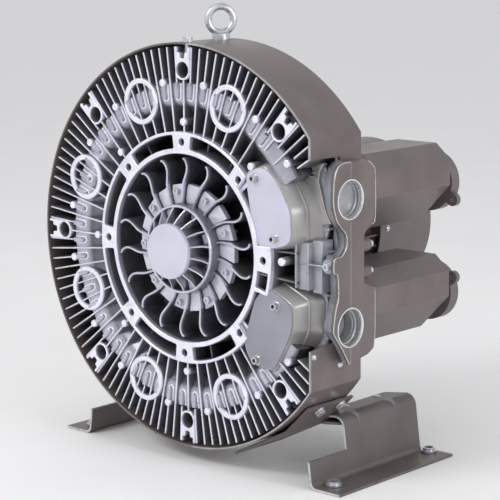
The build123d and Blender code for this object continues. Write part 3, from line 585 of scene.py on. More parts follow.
def make_front_shell():
    """Channel's crest with its slots, and the wall behind the fins."""
    bm = bmesh.new()
    add_band(bm, HUMP, SHELL_ANGLE, 360.0 - SHELL_ANGLE, 280)
    shell = make_cast("front_shell", bm, CAST_HUMP, replaces=("front_casing",))
    slots = bmesh.new()
    for angle in crest_angles():
        add_prism(slots, crest_line(SLOT_LINE, angle), 0.0, SLOT_FLOOR_Y)
    cut(shell, slots)
    bm = bmesh.new()
    add_prism(bm, [(min(x, SHELL_FLAT_X), z) for x, z in circle(BACK_WALL_R, steps=180)], 47.0, 55.9)
    make_cast("front_back_wall", bm, CAST_HUMP)


def make_fins():
    """Fins, and a raised lip round each slot in the crest, open towards the rim; the lips are painted
    lighter than the crest as a highlight.
    """
    bm = bmesh.new()
    add_fins(bm)
    make_cast("front_fins", bm, CAST)
    bm = bmesh.new()
    for angle in crest_angles():
        add_blade(bm, crest_line(LIP_LINE, angle), 1.35, LIP_FRONTS, 12.0, root_half=1.7)
    make_cast("channel_beads", bm, CAST_LIP_HIGHLIGHT)


def make_ring_bosses():
    bm = bmesh.new()
    profile = [(25, 13), (24.6, 2), (25.4, 0.6), (27, 0), (30, 0), (31.4, 0.6), (32.2, 2), (33, 44)]
    for angle in RING_ANGLES:
        add_lathe(bm, profile, 64, polar(RING_AT, angle))
    make_cast("ring_bosses", bm, CAST)


def turned(outline, angle):
    a = math.radians(angle)
    return [(u * math.cos(a) - v * math.sin(a), u * math.sin(a) + v * math.cos(a)) for u, v in outline]


def make_pads():
    """Screw pads at the rim: a flat with a deep bolt recess, round inside and notched at the outer end."""
    side = [(229.2, 0), (229.8, 5), (232.6, 9.6), (237, 12.4), (252, 13.2), (274, 13.6), (274, 10),
            (266.5, 10), (266.5, 5), (258.5, 3.4)]
    flat = [(u, -v) for u, v in side] + side[:0:-1]
    for i, angle in enumerate(PAD_ANGLES):
        outline = turned(rounded(flat, 1.2, 3), angle)
        hole = circle(PAD_HOLE_R, polar(PAD_HOLE_AT, angle), 40)
        make_plate(f"screw_pad_{i}", [outline], [hole], 0.0, 40.0, CAST, edge=1.0)
    bm = bmesh.new()
    for angle in PAD_ANGLES:
        for reach, lean in ((PIN_OUTER_AT, -PIN_OUTER_LEAN), (PIN_OUTER_AT, PIN_OUTER_LEAN),
                            (PIN_INNER_AT, 0.0)):
            add_knob(bm, polar(reach, angle + lean), PIN_R, -0.6, 40.0, 1.6, 20, 1.2)
    make_cast("ejector_pads", bm, CAST)
    bm = bmesh.new()
    for angle in PAD_ANGLES:
        add_prism(bm, circle(7.0, polar(RIM_NUT_AT, angle), 6), 9.0, 30.0)
    make_piece("rim_nuts", bm, BLACK_STEEL, slot="steel")


PLATE_SECTORS = ((7, 43), (317, 343))
COVERED_FLANGE_R = 137.4
FLANGE_WINDOWS = [(45.0 * k + 6.2, 45.0 * k + 38.8) for k in range(1, 7)] + [(344.5, 353.8)]


def flange_reach(angle):
    """Outer radius of the flange face: the cover plates take the place of its outer ring."""
    for start, stop in PLATE_SECTORS:
        if start < angle < stop:
            return COVERED_FLANGE_R
    return FLANGE_R


def add_spoke(bm, angle, half_width, front):
    add_blade(bm, [polar(r, angle) for r in (134.0, 146.0, 158.0)], half_width, [front] * 3, FIN_ROOT_Y)


def make_flange():
    """Ring flange with windows between its screws, and the walls and spokes behind it."""
    holes = [circle(BOWL_R, steps=120)]
    for start, stop in FLANGE_WINDOWS:
        holes.append(rounded(sector(137.0, 155.6, start, stop, 10), 3.0, 3))
    for k in range(8):
        holes.append(circle(5.2, polar(FLANGE_HOLE_AT, 45.0 * k), 24))
    outer = [polar(flange_reach(angle), angle) for angle in range(360)]
    make_plate("flange_face", [outer], holes, FLANGE_FRONT_Y, 4.0, CAST, edge=1.5)
    bm = bmesh.new()
    for start, stop, steps in ((43.0, 317.0, 130), (343.0, 367.0, 16)):
        add_band(bm, [(156, 3), (160, 3), (161, 48), (154.5, 48)], start, stop, steps)
    add_lathe(bm, [(130.2, 3), (136.4, 3), (138, 48), (128, 48)], 120)
    for k in range(8):
        for angle in (45.0 * k - 4.0, 45.0 * k + 4.0):
            add_spoke(bm, angle, 3.2, 3.0)
        for angle in (45.0 * k - 13.0, 45.0 * k + 13.0):
            if flange_reach(angle % 360.0) == FLANGE_R:
                add_spoke(bm, angle, 1.4, 15.0)
    make_cast("flange_walls", bm, CAST)


# A rib of the bowl as (radius, lean in degrees).
RIB_LINE = [(61.5, 3), (66, 2.8), (72, 2.2), (78, 1.3), (85, 0.4), (91, -0.8), (98, -2.6), (105, -4),
            (110, -4.4), (115, -4.1), (119, -3.3), (122, -2.2), (123.6, -0.8)]


def make_bowl():
    """Bowl round the bracket, and its curved ribs, hooked at their outer ends."""
    bm = bmesh.new()
    add_lathe(bm, [(131, 2), (129.6, 8), (127.5, 26), (120, 38), (104, 43.5), (60, 45), (60, 50),
                   (131, 50)], 120)
    make_cast("bowl", bm, CAST_BOWL)
    bm = bmesh.new()
    for k in range(RIB_COUNT):
        base = RIB_FIRST_ANGLE + RIB_STEP * k
        path = [polar(r, base + lean) for r, lean in RIB_LINE]
        fronts = [-3.0 if r > 90 else -3.0 + (90 - r) * 0.1 for r, lean in RIB_LINE]
        add_blade(bm, path, 1.55, fronts, 46.0, root_half=2.4)
    make_cast("bowl_ribs", bm, CAST_BOWL)


def rib_point(radius, rib, aside):
    """Point at a radius beside a rib, moved sideways by some millimetres."""
    lean = next(l0 + (l1 - l0) * (radius - r0) / (r1 - r0)
                for (r0, l0), (r1, l1) in zip(RIB_LINE, RIB_LINE[1:]) if r0 <= radius <= r1)
    return polar(radius, RIB_FIRST_ANGLE + RIB_STEP * rib + lean + math.degrees(aside / radius))


def make_bracket_feet():
    """Foot plates of the bearing bracket, one between each pair of ribs."""
    plates = []
    for k in range(RIB_COUNT):
        near = [rib_point(r, k, 2.6) for r in (62.0, 70.0, 80.0)] + [rib_point(88.5, k, 3.6)]
        far = [rib_point(88.5, k + 1, -3.6)] + [rib_point(r, k + 1, -2.6) for r in (80.0, 70.0, 62.0)]
        plates.append(rounded(near + far, 1.6, 3))
    make_plate("bracket_feet", plates, [], BRACKET_FRONT_Y, BRACKET_FRONT_Y + 9.0, CAST_PALE, edge=0.9,
               replaces=("bearing_bracket", "hub_cap"))


def make_bracket_collar():
    """Collar of the bearing bracket with webs to the hub, and the cone behind them."""
    bm = bmesh.new()
    add_lathe(bm, [(57.2, -11.5), (58, -12.6), (59, -13), (60.4, -12.6), (61.4, -11), (62.6, 34), (56, 34)],
              96)
    for k in range(HUB_WEBS):
        angle = HUB_WEB_ANGLE + k * HUB_WEB_STEP
        path = [polar(r, angle + lean) for r, lean in ((36.5, 1.8), (43, 1.2), (50, 0), (58, -2.5))]
        add_blade(bm, path, 1.1, [-28.5, -23.5, -17.5, -12.0], 30.0, root_half=1.7)
    make_cast("bracket_collar", bm, CAST_HUB)
    bm = bmesh.new()
    add_lathe(bm, [(36, -31), (37, -8), (41, 10), (46, 34), (57.5, 34), (57.5, 20), (49, 18),
                   (42, 6), (38.5, -8), (37, -31)], 96)
    make_cast("bracket_cone", bm, CAST_CONE)


def make_bracket_pockets():
    """Blocks that fill every second pocket to one of two depths, and ring bosses in some others."""
    bm = bmesh.new()
    for k in range(0, HUB_WEBS, 2):
        angle = HUB_WEB_ANGLE + k * HUB_WEB_STEP
        outline = rounded(sector(43.0, 57.5, angle + 2.5, angle + 20.0, 6), 3.5, 3)
        add_prism(bm, outline, 1.0 if k % 4 else -6.0, 28.0, taper=0.8, edge=1.4)
    for k in range(1, HUB_WEBS, 4):
        x, z = polar(51.0, HUB_WEB_ANGLE + (k + 0.5) * HUB_WEB_STEP)
        add_lathe(bm, [(2.2, 8), (2.6, 3.6), (4, 3.6), (4.4, 8), (5.4, 8.2), (5.8, 20), (2, 20)], 24,
                  (x, z))
    make_cast("bracket_pockets", bm, CAST_PALE)


def make_hub_disc():
    bm = bmesh.new()
    add_lathe(bm, [(0.01, HUB_FRONT_Y), (36.6, HUB_FRONT_Y), (37.6, HUB_FRONT_Y + 0.4),
                   (38.0, HUB_FRONT_Y + 1.4), (38.0, HUB_FRONT_Y + 6.0), (0.01, HUB_FRONT_Y + 6.0)], 96)
    make_piece("hub_disc", bm, PLATE, slot="bare_sheet")


def add_socket_screw(bm, place, seat):
    """Round head of a cap screw on its washer, open inside for the socket."""
    head_r, top = 5.2, seat - 7.5
    add_lathe(bm, [(2.6, top + 3.6), (2.7, top + 0.4), (3.1, top), (head_r - 0.7, top), (head_r, top + 0.8),
                   (head_r, seat), (head_r + 1.4, seat), (head_r + 1.6, seat + 0.6), (2.6, seat + 0.6)],
              30, place=place)


PLATE_SCREWS = [(131, 108), (165, 31), (167, -58), (133, -136)]


def make_cover_screws():
    bm = bmesh.new()
    dark = bmesh.new()
    for x, z in PLATE_SCREWS:
        add_socket_screw(bm, along_y(x, z), seat=-1.2)
        # A black hexagon deep in each head: painted shade inside the socket.
        add_lathe(dark, [(0.01, -5.4), (2.75, -5.4), (2.75, -3), (0.01, -3)], 6, place=along_y(x, z))
    make_piece("cover_cap_screws", bm, STEEL, slot="zinc", replaces=("cover_screws",))
    make_piece("cover_screw_socket_shade", dark, BLACK_STEEL, slot="zinc")


def make_cover_plate(name, outline, material, node):
    shape = rounded(outline, 13.0, 6)
    make_plate(name, [shape], [], -1.0, 2.2, material, edge=0.7, slot="bare_sheet", replaces=(node,))


def make_chamber(name, outline, swells):
    """Port chamber under a cover plate: walls lean outwards to the rear and reach towards the manifold."""
    rows = []
    for y, swell, reach in swells:
        corners = rounded(grown(outline, swell), 7.0, 4)
        rows.append([(x + reach * max(0.0, min(1.0, (x - 150.0) / 45.0)), y, z) for x, z in corners])
    bm = bmesh.new()
    add_rings(bm, rows)
    make_painted(name, bm, CHAMBER_PAINT)


def make_chambers():
    swells = [(1.6, -1.0, 0.0), (2.2, 0.6, 0.0), (3.4, 1.5, 0.0), (23.6, 6.2, 2.0), (24.4, 7.6, 2.4),
              (25.6, 7.8, 2.4), (26.6, 7.0, 2.2), (38.0, 9.0, 11.0), (41.0, 9.6, 12.0), (44.0, 9.0, 11.5),
              (54.0, 10.0, 13.0)]
    make_chamber("port_chamber_upper", UPPER_PLATE, swells)
    make_chamber("port_chamber_lower", LOWER_PLATE, swells)


def make_port_pocket():
    """Ribs, a pin and stepped walls in the pocket between the two chambers."""
    bm = bmesh.new()
    for z0, z1 in ((-20, -27), (13, 12)):
        add_blade(bm, [(135.0, z0), (160.0, (z0 + z1) / 2), (190.0, z1)], 1.5, [4.0, 9.0, 14.0], 46.0,
                  root_half=2.2)
    add_knob(bm, (174, 1), 5.6, 0.5, 46.0, 1.4, 24, 2.2)
    make_cast("port_pocket_ribs", bm, CAST)
    bm = bmesh.new()
    for box in ((187.0, 189.6, 13.0, 48.0, -34.0, 26.0), (189.0, 206.0, 19.0, 48.0, -36.0, 27.0),
                (204.0, 207.0, 17.0, 48.0, -36.0, 27.0), (206.0, 222.0, 27.0, 50.0, -40.0, 30.0),
                (190.0, 232.0, 17.4, 30.0, -2.0, 0.6)):
        add_box(bm, *box)
    make_cast("port_pocket_wall", bm, CAST_PORT, bevel=1.2)


make_front_shell()
make_fins()
make_ring_bosses()
make_pads()
make_flange()
make_bowl()
make_bracket_feet()
make_bracket_collar()
make_bracket_pockets()
make_hub_disc()
make_chambers()
make_port_pocket()
make_cover_screws()
make_cover_plate("cover_sheet_upper", UPPER_PLATE, PLATE, "cover_plate_upper")
make_cover_plate("cover_sheet_lower", LOWER_PLATE, PLATE_SHADE, "cover_plate_lower")

# ---- port manifold

# Manifold's outline in (y, z), front and rear; its cove as (x, distance that the front edge moves back).
MANIFOLD_FACE = [(52, 133.4), (37, 133), (26, 128.4), (20, 116), (17.7, 101), (17.7, 82), (21, 69),
                 (25.7, 58.6), (33, 50), (40, 43.7), (44, 38), (45, 31), (44, 24), (42, 20), (38, 15.5),
                 (33, 12), (22.7, 11.3), (18.6, 8), (18.6, -8), (25.7, -11.3), (27.7, -40), (21.6, -58.7),
                 (17.5, -81.8), (19.5, -90), (35.8, -111.6), (49.5, -133.7)]
MANIFOLD_REAR = [(60, -132), (74, -129), (90, -126), (101, -120), (103.4, -96), (103.4, -46), (102, -38),
                 (90, -34), (81, -29), (81, 34), (85, 40), (96, 46), (103.4, 56), (103.4, 112), (98, 126),
                 (86, 133)]
COVE = [(250, 1.6), (249.4, 0.6), (248, 0), (245, 0.2), (238, 3.5), (231, 7.4), (226, 12), (221, 19),
        (217, 27), (212, 44)]


def smooth_line(points, steps=4):
    """Finer open line through the same points (Catmull-Rom)."""
    ends = [points[0]] + list(points) + [points[-1]]
    line = []
    for a, b, c, d in zip(ends, ends[1:], ends[2:], ends[3:]):
        for k in range(steps):
            t = k / steps
            line.append(tuple(0.5 * (2 * q + (r - p) * t + (2 * p - 5 * q + 4 * r - s) * t * t
                                     + (3 * q - p - 3 * r + s) * t ** 3) for p, q, r, s in zip(a, b, c, d)))
    line.append(tuple(points[-1]))
    return line


FACE_LINE = smooth_line(MANIFOLD_FACE)
COVE_END_Y = 74.0


def make_bead(name, points, radius, material):
    """Thin round line of painted metal along a row of points; each one here carries a painted highlight
    along an edge.
    """
    curve = bpy.data.curves.new(name, "CURVE")
    curve.dimensions = "3D"
    curve.bevel_depth = radius * MM
    curve.bevel_resolution = 2
    add_spline(curve, [at(*point) for point in points])
    bm = bmesh.new()
    bm.from_mesh(curve_mesh(name, curve))
    make_painted(name, bm, material)


def make_manifold():
    """Block on the port side: a flat face, and a cove that runs from its rim back to the chambers."""
    bm = bmesh.new()
    rows = []
    for x, shift in COVE:
        row = []
        for y, z in FACE_LINE:
            chamfer = math.copysign(1.2, z) if x > 249.5 and abs(z) > 120 else 0.0
            row.append((x, min(y + shift, COVE_END_Y), z - chamfer))
        shrink = shift if x > 247.9 else 0.0
        row += [(x, y - shrink, z) for y, z in MANIFOLD_REAR]
        rows.append(row)
    add_rings(bm, rows)
    body = make_painted("manifold_body", bm, PAINT, replaces=("manifold",))
    cutters = bmesh.new()
    bore = [(0.01, 215), (PORT_R - 0.6, 215.0), (PORT_R - 0.6, 252.0), (0.01, 252)]
    for z in (PORT_Z, -PORT_Z):
        add_lathe(cutters, bore, 72, place=along_x(PORT_Y, z))
    cut(body, cutters)


def make_ports():
    """Bright rims of the two side ports, and the linings inside them, of which the lower is deeper."""
    bm = bmesh.new()
    rim = [(PORT_R - 2.2, 244.0), (PORT_R - 1.6, 249.0), (PORT_R - 0.8, 250.4), (PORT_R + 0.3, 250.5),
           (PORT_R + 1.1, 249.6), (PORT_R - 0.2, 240.0)]
    for z in (PORT_Z, -PORT_Z):
        add_lathe(bm, rim, 72, place=along_x(PORT_Y, z))
    make_cast("port_rims", bm, MACHINED)
    bm = bmesh.new()
    upper = [(0.01, 239), (22, 239), (23, 238), (23.2, 235), (24, 235), (24, 247), (25.6, 247),
             (25.6, 241), (22, 239.6), (22, 236), (0.01, 236)]
    lower = [(0.01, 224), (18.4, 224), (19.6, 222.6), (19.8, 236), (21, 237.4), (24, 237.6), (24, 247),
             (25.6, 247), (25.6, 241), (21.6, 239.4), (20.2, 236), (20.2, 222), (0.01, 222)]
    add_lathe(bm, upper, 72, place=along_x(PORT_Y, PORT_Z))
    add_lathe(bm, lower, 72, place=along_x(PORT_Y, -PORT_Z))
    make_cast("port_linings", bm, PORT_INSIDE, replaces=("port_plugs",))


def make_manifold_trim():
    """Parting line and a painted highlight along the edge of the manifold's face, its bare cove, and the
    lugs and ear in the gap.
    """
    bm = bmesh.new()
    for z0, z1 in ((133, 112.4), (56.6, -56.6), (-112.4, -133)):
        middle = (z0 + z1) / 2
        add_rings(bm, [[(249.2, PORT_Y - 0.8, z), (250.35, PORT_Y - 0.3, z), (250.35, PORT_Y + 0.3, z),
                        (249.2, PORT_Y + 0.8, z)] for z in (z0, middle, z1)])
    make_painted("manifold_parting_line", bm, CHAMBER_PAINT)
    # Light line along the face's edge: a painted highlight.
    make_bead("manifold_face_edge_highlight", [(249.3, y + 0.4, z) for y, z in FACE_LINE], 0.7, EDGE_HIGHLIGHT_PAINT)
    bm = bmesh.new()
    rows = [[(x, min(y + shift, COVE_END_Y) - 0.25, z) for y, z in FACE_LINE] for x, shift in COVE[3:]]
    add_rings(bm, rows, closed=False)
    make_cast("manifold_cove", bm, CAST_PORT)
    bm = bmesh.new()
    for z in (18, -18):
        add_lathe(bm, [(3.4, 104), (8, 104), (9, 103), (10, 70), (3.4, 70)], 32, (235.0, z))
    make_painted("manifold_lugs", bm, PAINT)
    bm = bmesh.new()
    add_lathe(bm, [(3.6, 18.6), (9.2, 18.6), (10, 19.6), (10.6, 44), (3.6, 44)], 40, (238.6, 0))
    make_cast("manifold_ear", bm, CAST_PORT)


def make_port_shoulders():
    """Shoulders of the rear casing that reach from the chambers to the manifold."""
    upper = [(196, 20), (214, 24), (220, 44), (219, 92), (216, 128), (190, 130), (180, 112)]
    lower = [(190, -44), (214, -36), (220, -60), (219, -100), (214, -128), (186, -124)]
    bm = bmesh.new()
    for outline in (upper, lower):
        add_prism(bm, rounded(outline, 10.0, 4), 42.0, 60.0, taper=1.0, edge=2.0)
    make_cast("port_shoulders", bm, CAST_PORT)


def make_port_ledge():
    """Painted ledge behind the upper chamber, with two small ribs and a painted highlight along its edge.
    """
    bm = bmesh.new()
    edge = [(215, 130), (209, 120), (206, 107), (211, 90), (216.4, 73), (221, 61.5), (227, 52)]
    add_prism(bm, rounded([(170, 104), (184, 131)] + edge + [(206, 46), (192, 72)], 3.0, 3), 38.0, 58.0,
              taper=1.0, edge=1.2)
    for z in (112, 117):
        add_prism(bm, rounded([(190, z - 1.2), (206, z - 1.2), (206, z + 1.2), (190, z + 1.2)], 0.8, 2),
                  34.6, 40.0, edge=0.6)
    make_painted("port_ledge", bm, CHAMBER_PAINT)
    # Light line along the ledge's edge: a painted highlight.
    make_bead("port_ledge_edge_highlight", [(x + 0.2, 38.8, z) for x, z in edge], 0.75, EDGE_HIGHLIGHT_PAINT)


make_manifold()
make_ports()
make_manifold_trim()
make_port_shoulders()
make_port_ledge()

# ---- hood

HOOD_INNER_R = HOOD_R - HOOD_SHEET
HOOD_CREASE = math.degrees(math.acos(HOOD_FLAT_X / HOOD_R))
HOOD_CREASE_Z = HOOD_R * math.sin(math.radians(HOOD_CREASE))
HOOD_ARC_STEPS = 150
FLAP_SCREWS = [(93, 121), (7, -120), (60, -139)]


def hood_rings(section, wanted=lambda c, s: True):
    """Hood's (radius, y) section carried from the upper crease over the top and round to the lower one."""
    step = (360.0 - 2 * HOOD_CREASE) / HOOD_ARC_STEPS
    directions = [polar(1.0, HOOD_CREASE + step * k) for k in range(HOOD_ARC_STEPS + 1)]
    return [[(min(r * c, HOOD_FLAT_X - (HOOD_R - r)), y, r * s) for r, y in section]
            for c, s in directions if wanted(c, s)]


def make_hood():
    """Rolled sheet round both casings, with a flat on the port side that is open between two flaps."""
    bm = bmesh.new()
    add_rings(bm, hood_rings([
        (HOOD_INNER_R, 0.6), (HOOD_INNER_R + 0.6, 0.0), (HOOD_R - 0.6, 0.0), (HOOD_R, 0.6),
        (HOOD_R, HOOD_DEPTH - 0.6), (HOOD_R - 0.6, HOOD_DEPTH), (HOOD_INNER_R + 0.6, HOOD_DEPTH),
        (HOOD_INNER_R, HOOD_DEPTH - 0.6)]))
    upper = [(0, HOOD_CREASE_Z), (0, HOOD_OPEN_TOP), (60, HOOD_OPEN_TOP), (66, 112), (HOOD_DEPTH, 112),
             (HOOD_DEPTH, HOOD_CREASE_Z)]
    lower = [(0, -HOOD_CREASE_Z), (HOOD_DEPTH, -HOOD_CREASE_Z), (HOOD_DEPTH, -108), (30, -108), (0, -112)]
    for outline in (upper, lower):
        add_rings(bm, [[(x, y, z) for y, z in outline] for x in (HOOD_FLAT_X - HOOD_SHEET, HOOD_FLAT_X)])
    make_painted("hood_sheet", bm, PAINT, replaces=("hood",))


def make_hood_edge():
    """Front edge of the hood on the port side, painted light as a highlight: above and below the flat, and
    along its flaps.
    """
    bm = bmesh.new()
    section = ((HOOD_INNER_R - 0.2, 1.0), (HOOD_INNER_R + 0.3, -0.5), (HOOD_R - 0.3, -0.5),
               (HOOD_R + 0.2, 1.0))
    add_rings(bm, hood_rings(section, lambda c, s: c > 0.0 and s > 0.0))
    add_rings(bm, hood_rings(section, lambda c, s: c > 0.0 and s <= 0.0))
    x0, x1 = HOOD_FLAT_X - HOOD_SHEET, HOOD_FLAT_X
    for ends in ((HOOD_CREASE_Z, HOOD_OPEN_TOP), (-HOOD_CREASE_Z, -112.0)):
        add_rings(bm, [[(x0 - 0.2, 1.0, z), (x0 + 0.3, -0.5, z), (x1 - 0.3, -0.5, z), (x1 + 0.2, 1.0, z)]
                       for z in ends])
    make_painted("hood_front_edge_highlight", bm, HOOD_EDGE_HIGHLIGHT)


def make_flap_screws():
    bm = bmesh.new()
    dome = [(0.01, 228.6), (2.2, 228.3), (3.8, 227.2), (4.9, 225.6), (5, 224), (0.01, 224)]
    for y, z in FLAP_SCREWS:
        add_lathe(bm, dome, 24, place=along_x(y, z))
    make_piece("flap_screws", bm, ZINC, slot="zinc", replaces=("hood_screws",))


# Light grey for the hood's front edge: a painted highlight.
HOOD_EDGE_HIGHLIGHT = finish("hood_edge_highlight", (0.34, 0.32, 0.32), (0.50, 0.48, 0.48), 0.35, 0.6, grain=60.0)
make_hood()
make_hood_edge()
make_flap_screws()

# ---- feet and saddles

FOOT_SHEET = 4.0
# Toe, heel, knee and inner edge of the top flange, and the radii of the bends at heel and knee.
FOOT_XS = (262.0, 213.5, 203.0, 150.0)
FOOT_BENDS = (9, 14)
FOOT_TAB_X = 222.0
FOOT_TOP_Z = -219.0
FLANGE_DROP = 8.0
FOOT_FRONT_Y = 14.0
FOOT_REAR_Y = 260.0
FOOT_STEP_Y = 92.0
FOOT_STEP_Z = -266.0
FLOOR_Z = -AXIS_HEIGHT
FOOT_BOLT_X = 162.0
FOOT_BOLT_YS = (150, 220)
GUSSET_YS = (124, 205)


def bent_line(corners, radii, steps=7):
    """Open (x, z) line with an arc at each inner corner."""
    points = [corners[0]]
    for before, here, after, radius in zip(corners, corners[1:], corners[2:], radii):
        p, h, q = Vector(before), Vector(here), Vector(after)
        back, ahead = (p - h).normalized(), (q - h).normalized()
        half = math.acos(max(-1.0, min(1.0, back.dot(ahead)))) / 2
        reach = radius / math.tan(half)
        centre = h + (back + ahead).normalized() * (radius / math.sin(half))
        a, b = h + back * reach - centre, h + ahead * reach - centre
        for k in range(steps + 1):
            t = k / steps
            arm = (a * (1 - t) + b * t).normalized() * radius
            points.append(tuple(centre + arm))
    points.append(corners[-1])
    return points


def sheet_outline(line, thickness):
    """Closed outline of a sheet whose middle follows an open (x, z) line."""
    left, right = [], []
    for (x, z), along in zip(line, headings(line)):
        left.append((x - along.y * thickness / 2, z + along.x * thickness / 2))
        right.append((x + along.y * thickness / 2, z - along.x * thickness / 2))
    return left + right[::-1]


def add_sheet(bm, line, thickness, y0, y1, edge=0.7):
    """Bent sheet along Y with softly broken ends."""
    rings = []
    for y, thin in ((y0, edge), (y0 + edge, 0.0), (y1 - edge, 0.0), (y1, edge)):
        rings.append([(x, y, z) for x, z in sheet_outline(line, thickness - 2 * thin)])
    add_rings(bm, rings)


def make_foot(name, side, node):
    """Bent foot: low in front of its step, full height behind it, with a tab on the floor at the rear."""
    floor = FLOOR_Z + FOOT_SHEET / 2
    top = FOOT_TOP_Z - FOOT_SHEET / 2
    toe, heel, knee, inner = (x * side for x in FOOT_XS)
    step_x = heel + (knee - heel) * (FOOT_STEP_Z - floor) / (top - floor)
    corners = [(toe, floor), (heel, floor), (knee, top), (inner, top - FLANGE_DROP)]
    low = corners[:2] + [(step_x, FOOT_STEP_Z)]
    high = [low[-1]] + corners[2:]
    bm = bmesh.new()
    add_sheet(bm, bent_line(corners, FOOT_BENDS), FOOT_SHEET, FOOT_STEP_Y, FOOT_REAR_Y - 8.0)
    add_sheet(bm, bent_line(low, FOOT_BENDS[:1]), FOOT_SHEET, FOOT_FRONT_Y, FOOT_STEP_Y + 1.0)
    add_sheet(bm, [(toe, floor), (FOOT_TAB_X * side, floor)], FOOT_SHEET, FOOT_REAR_Y - 9.0,
              FOOT_REAR_Y + 4.0)
    make_painted(name, bm, PAINT_DARK, replaces=(node,))
    # Light strips over the sheet's front edges: a painted highlight.
    bm = bmesh.new()
    for line, radii, y in ((low, FOOT_BENDS[:1], FOOT_FRONT_Y), (high, FOOT_BENDS[1:], FOOT_STEP_Y)):
        add_sheet(bm, bent_line(line, radii), FOOT_SHEET - 0.8, y - 0.3, y + 1.0, edge=0.3)
    make_painted(name + "_edge_highlights", bm, EDGE_HIGHLIGHT_PAINT)
    bm = bmesh.new()
    for y in GUSSET_YS:
        left = (188.0 * side, y - 10.0, FOOT_TOP_Z - 1.6)
        right = (188.0 * side, y + 10.0, FOOT_TOP_Z - 1.6)
        tip = (208.6 * side, y, -248.0)
        ridge = (205.8 * side, y, FOOT_TOP_Z - 3.4)
        a, b, c, d = (bm.verts.new(at(*p)) for p in (left, right, tip, ridge))
        for face in ((a, b, d), (a, d, c), (d, b, c), (a, c, b)):
            bm.faces.new(face)
    make_painted(name + "_gussets", bm, BRIGHT_DARK, smooth=False)


def make_saddle(name, side, node):
    """Strap bent round the hood's lower corner, with a tongue under the foot's top flange."""
    line = [(x * side, z) for x, z in ((76.5, -278.8), (168.4, -233), (206.8, -194.6))]
    bm = bmesh.new()
    add_sheet(bm, bent_line(line, (5.0,)), FOOT_SHEET, 15.0, 110.0)
    tongue = FOOT_TOP_Z - FLANGE_DROP - FOOT_SHEET * 1.5
    add_rings(bm, [[(x * side, y, z) for x, y in ((150, 100), (176, 84), (196, 96), (198, 112), (187, 236),
                                                  (140, 236))]
                   for z in (tongue - FOOT_SHEET / 2, tongue + FOOT_SHEET / 2)])
    make_painted(name, bm, PAINT_DARK, bevel=0.5, replaces=(node,))


def make_foot_bolts():
    bm = bmesh.new()
    for side in (1, -1):
        for y in FOOT_BOLT_YS:
            place = along_z(FOOT_BOLT_X * side, y)
            under = FOOT_TOP_Z - FLANGE_DROP - 2 * FOOT_SHEET
            over = FOOT_TOP_Z - FLANGE_DROP + 3.0
            add_lathe(bm, [(0.01, under - 6.4), (7.0, under - 6.4), (8.4, under - 5.6), (8.4, under),
                           (0.01, under)], 6,
                      place=place)
            add_lathe(bm, [(0.01, over), (4.2, over), (4.8, over - 0.6), (4.8, under), (0.01, under)], 24,
                      place=place)
    make_piece("foot_bolt_heads", bm, ZINC, slot="zinc", replaces=("foot_bolts",))


BRIGHT_DARK = finish("pressed_gusset", (0.20, 0.20, 0.21), (0.27, 0.27, 0.28), 0.35, 0.5, grain=60.0)
for side, hand in ((1, "right"), (-1, "left")):
    make_foot("foot_rail_" + hand, side, "foot_" + hand)
    make_saddle("saddle_strap_" + hand, side, "saddle_" + hand)
make_foot_bolts()

# ---- motor end

def make_cowl_ring():
    """Baffle just inside the cowl's mouth."""
    bm = bmesh.new()
    add_lathe(bm, [(98, 289), (112.6, 289), (112.6, 292), (98, 292)], 96)
    make_piece("cowl_baffle", bm, PLASTIC, slot="plastic")


def make_silencer_necks():
    """Necks that join the silencers to the manifold."""
    section = [(-34, 57), (34, 57), (58, 36), (58, 0), (10, -50), (-10, -50), (-58, 0), (-58, 36)]
    bm = bmesh.new()
    for middle in (SILENCER_Z, -SILENCER_Z):
        add_prism(bm, [(SILENCER_X + 0.995 * x, middle + 0.995 * z) for x, z in section], 96.0, 112.2)
    make_painted("silencer_necks", bm, PAINT)


def make_silencer_seams():
    """Light lines along the manifold's rear edge, where the silencers meet it: a painted highlight."""
    for name, edge in (("upper", [(88, 131.6), (98, 125), (103.2, 112), (103.4, 56), (96, 46.6)]),
                       ("lower", [(102, -38), (103.4, -46), (103.4, -96), (101, -119)])):
        make_bead("silencer_seam_highlight_" + name, [(249.3, y, z) for y, z in smooth_line(edge)], 0.7, EDGE_HIGHLIGHT_PAINT)


make_cowl_ring()
make_silencer_necks()
make_silencer_seams()

# ---- studio

CAMERA_PLACE = (1.7620, -1.9557, 0.7540)
CAMERA_YAW = 42.19
CAMERA_PITCH = 10.18
CAMERA_ROLL = -0.512
CAMERA_LENS = 135.2
FLOOR_HALF = 60.0
# Each light: name, place, target, size in metres and power in watts.
LIGHTS = [("key", (-0.6, -2.3, 2.1), (0.0, 0.0, 0.3), (1.2, 0.8), 31.0),
          ("side", (2.7, -0.1, 1.1), (0.1, 0.1, 0.35), (1.0, 1.0), 19.0),
          ("top", (0.0, 0.2, 2.6), (0.0, 0.0, 0.3), (1.6, 1.6), 3.0)]


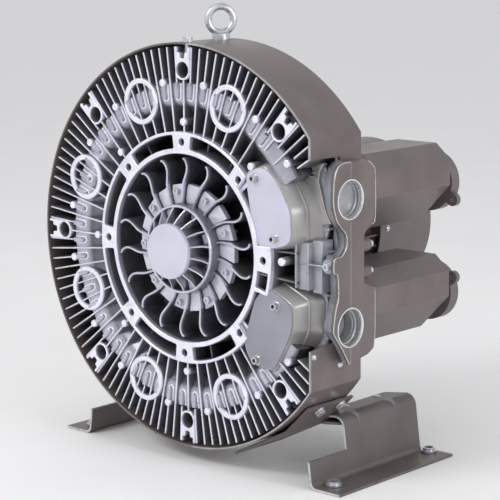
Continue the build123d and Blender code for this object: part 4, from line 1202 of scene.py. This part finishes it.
def add_camera():
    data = bpy.data.cameras.new("camera")
    data.lens = CAMERA_LENS
    data.sensor_width = 36.0
    data.clip_end = 200.0
    camera = add_object("camera", data)
    yaw, pitch, roll = (math.radians(v) for v in (CAMERA_YAW, CAMERA_PITCH, CAMERA_ROLL))
    right = Vector((math.cos(yaw), math.sin(yaw), 0.0))
    up = Vector((-math.sin(yaw) * math.sin(pitch), math.cos(yaw) * math.sin(pitch), math.cos(pitch)))
    back = right.cross(up)
    tilted_right = right * math.cos(roll) + up * math.sin(roll)
    tilted_up = up * math.cos(roll) - right * math.sin(roll)
    turn = Matrix((tilted_right, tilted_up, back)).transposed().to_4x4()
    camera.matrix_world = Matrix.Translation(CAMERA_PLACE) @ turn
    bpy.context.scene.camera = camera


def add_light(name, place, target, size, power):
    data = bpy.data.lights.new(name, "AREA")
    data.shape = "RECTANGLE"
    data.size, data.size_y = size
    data.energy = power
    lamp = add_object(name, data)
    lamp.location = place
    lamp.rotation_euler = (Vector(target) - Vector(place)).to_track_quat("-Z", "Y").to_euler()


def add_floor():
    bm = bmesh.new()
    corners = ((-1, -1), (1, -1), (1, 1), (-1, 1))
    bm.faces.new([bm.verts.new((x * FLOOR_HALF, y * FLOOR_HALF, 0.0)) for x, y in corners])
    floor = add_mesh("floor", bm)
    floor.data.materials.append(FLOOR)


def add_world():
    """Pale studio all round, greyer at the horizon and overhead than just above the horizon."""
    world = bpy.data.worlds.new("studio")
    world.use_nodes = True
    sky, links = world.node_tree.nodes, world.node_tree.links
    direction = sky.new("ShaderNodeSeparateXYZ")
    links.new(sky.new("ShaderNodeTexCoord").outputs["Generated"], direction.inputs["Vector"])
    shade = add_ramp(sky, links, direction.outputs["Z"], WORLD_SHADES)
    links.new(shade, sky["Background"].inputs["Color"])
    sky["Background"].inputs["Strength"].default_value = WORLD_STRENGTH
    bpy.context.scene.world = world


WORLD_SHADES = [(0.0, (0.60, 0.60, 0.61)), (0.05, (0.66, 0.66, 0.67)), (0.13, (1.0, 1.0, 1.0)),
                (0.22, (0.96, 0.96, 0.96)), (0.45, (0.74, 0.74, 0.75)), (1.0, (0.42, 0.42, 0.44))]
WORLD_STRENGTH = 1.07
FLOOR = finish("pale_floor", (0.94, 0.94, 0.94), (0.96, 0.96, 0.96), 0.75, grain=6.0, bump=0.02)
add_floor()
add_camera()
add_world()
bpy.context.scene.view_settings.view_transform = "Standard"
for light in LIGHTS:
    add_light(*light)
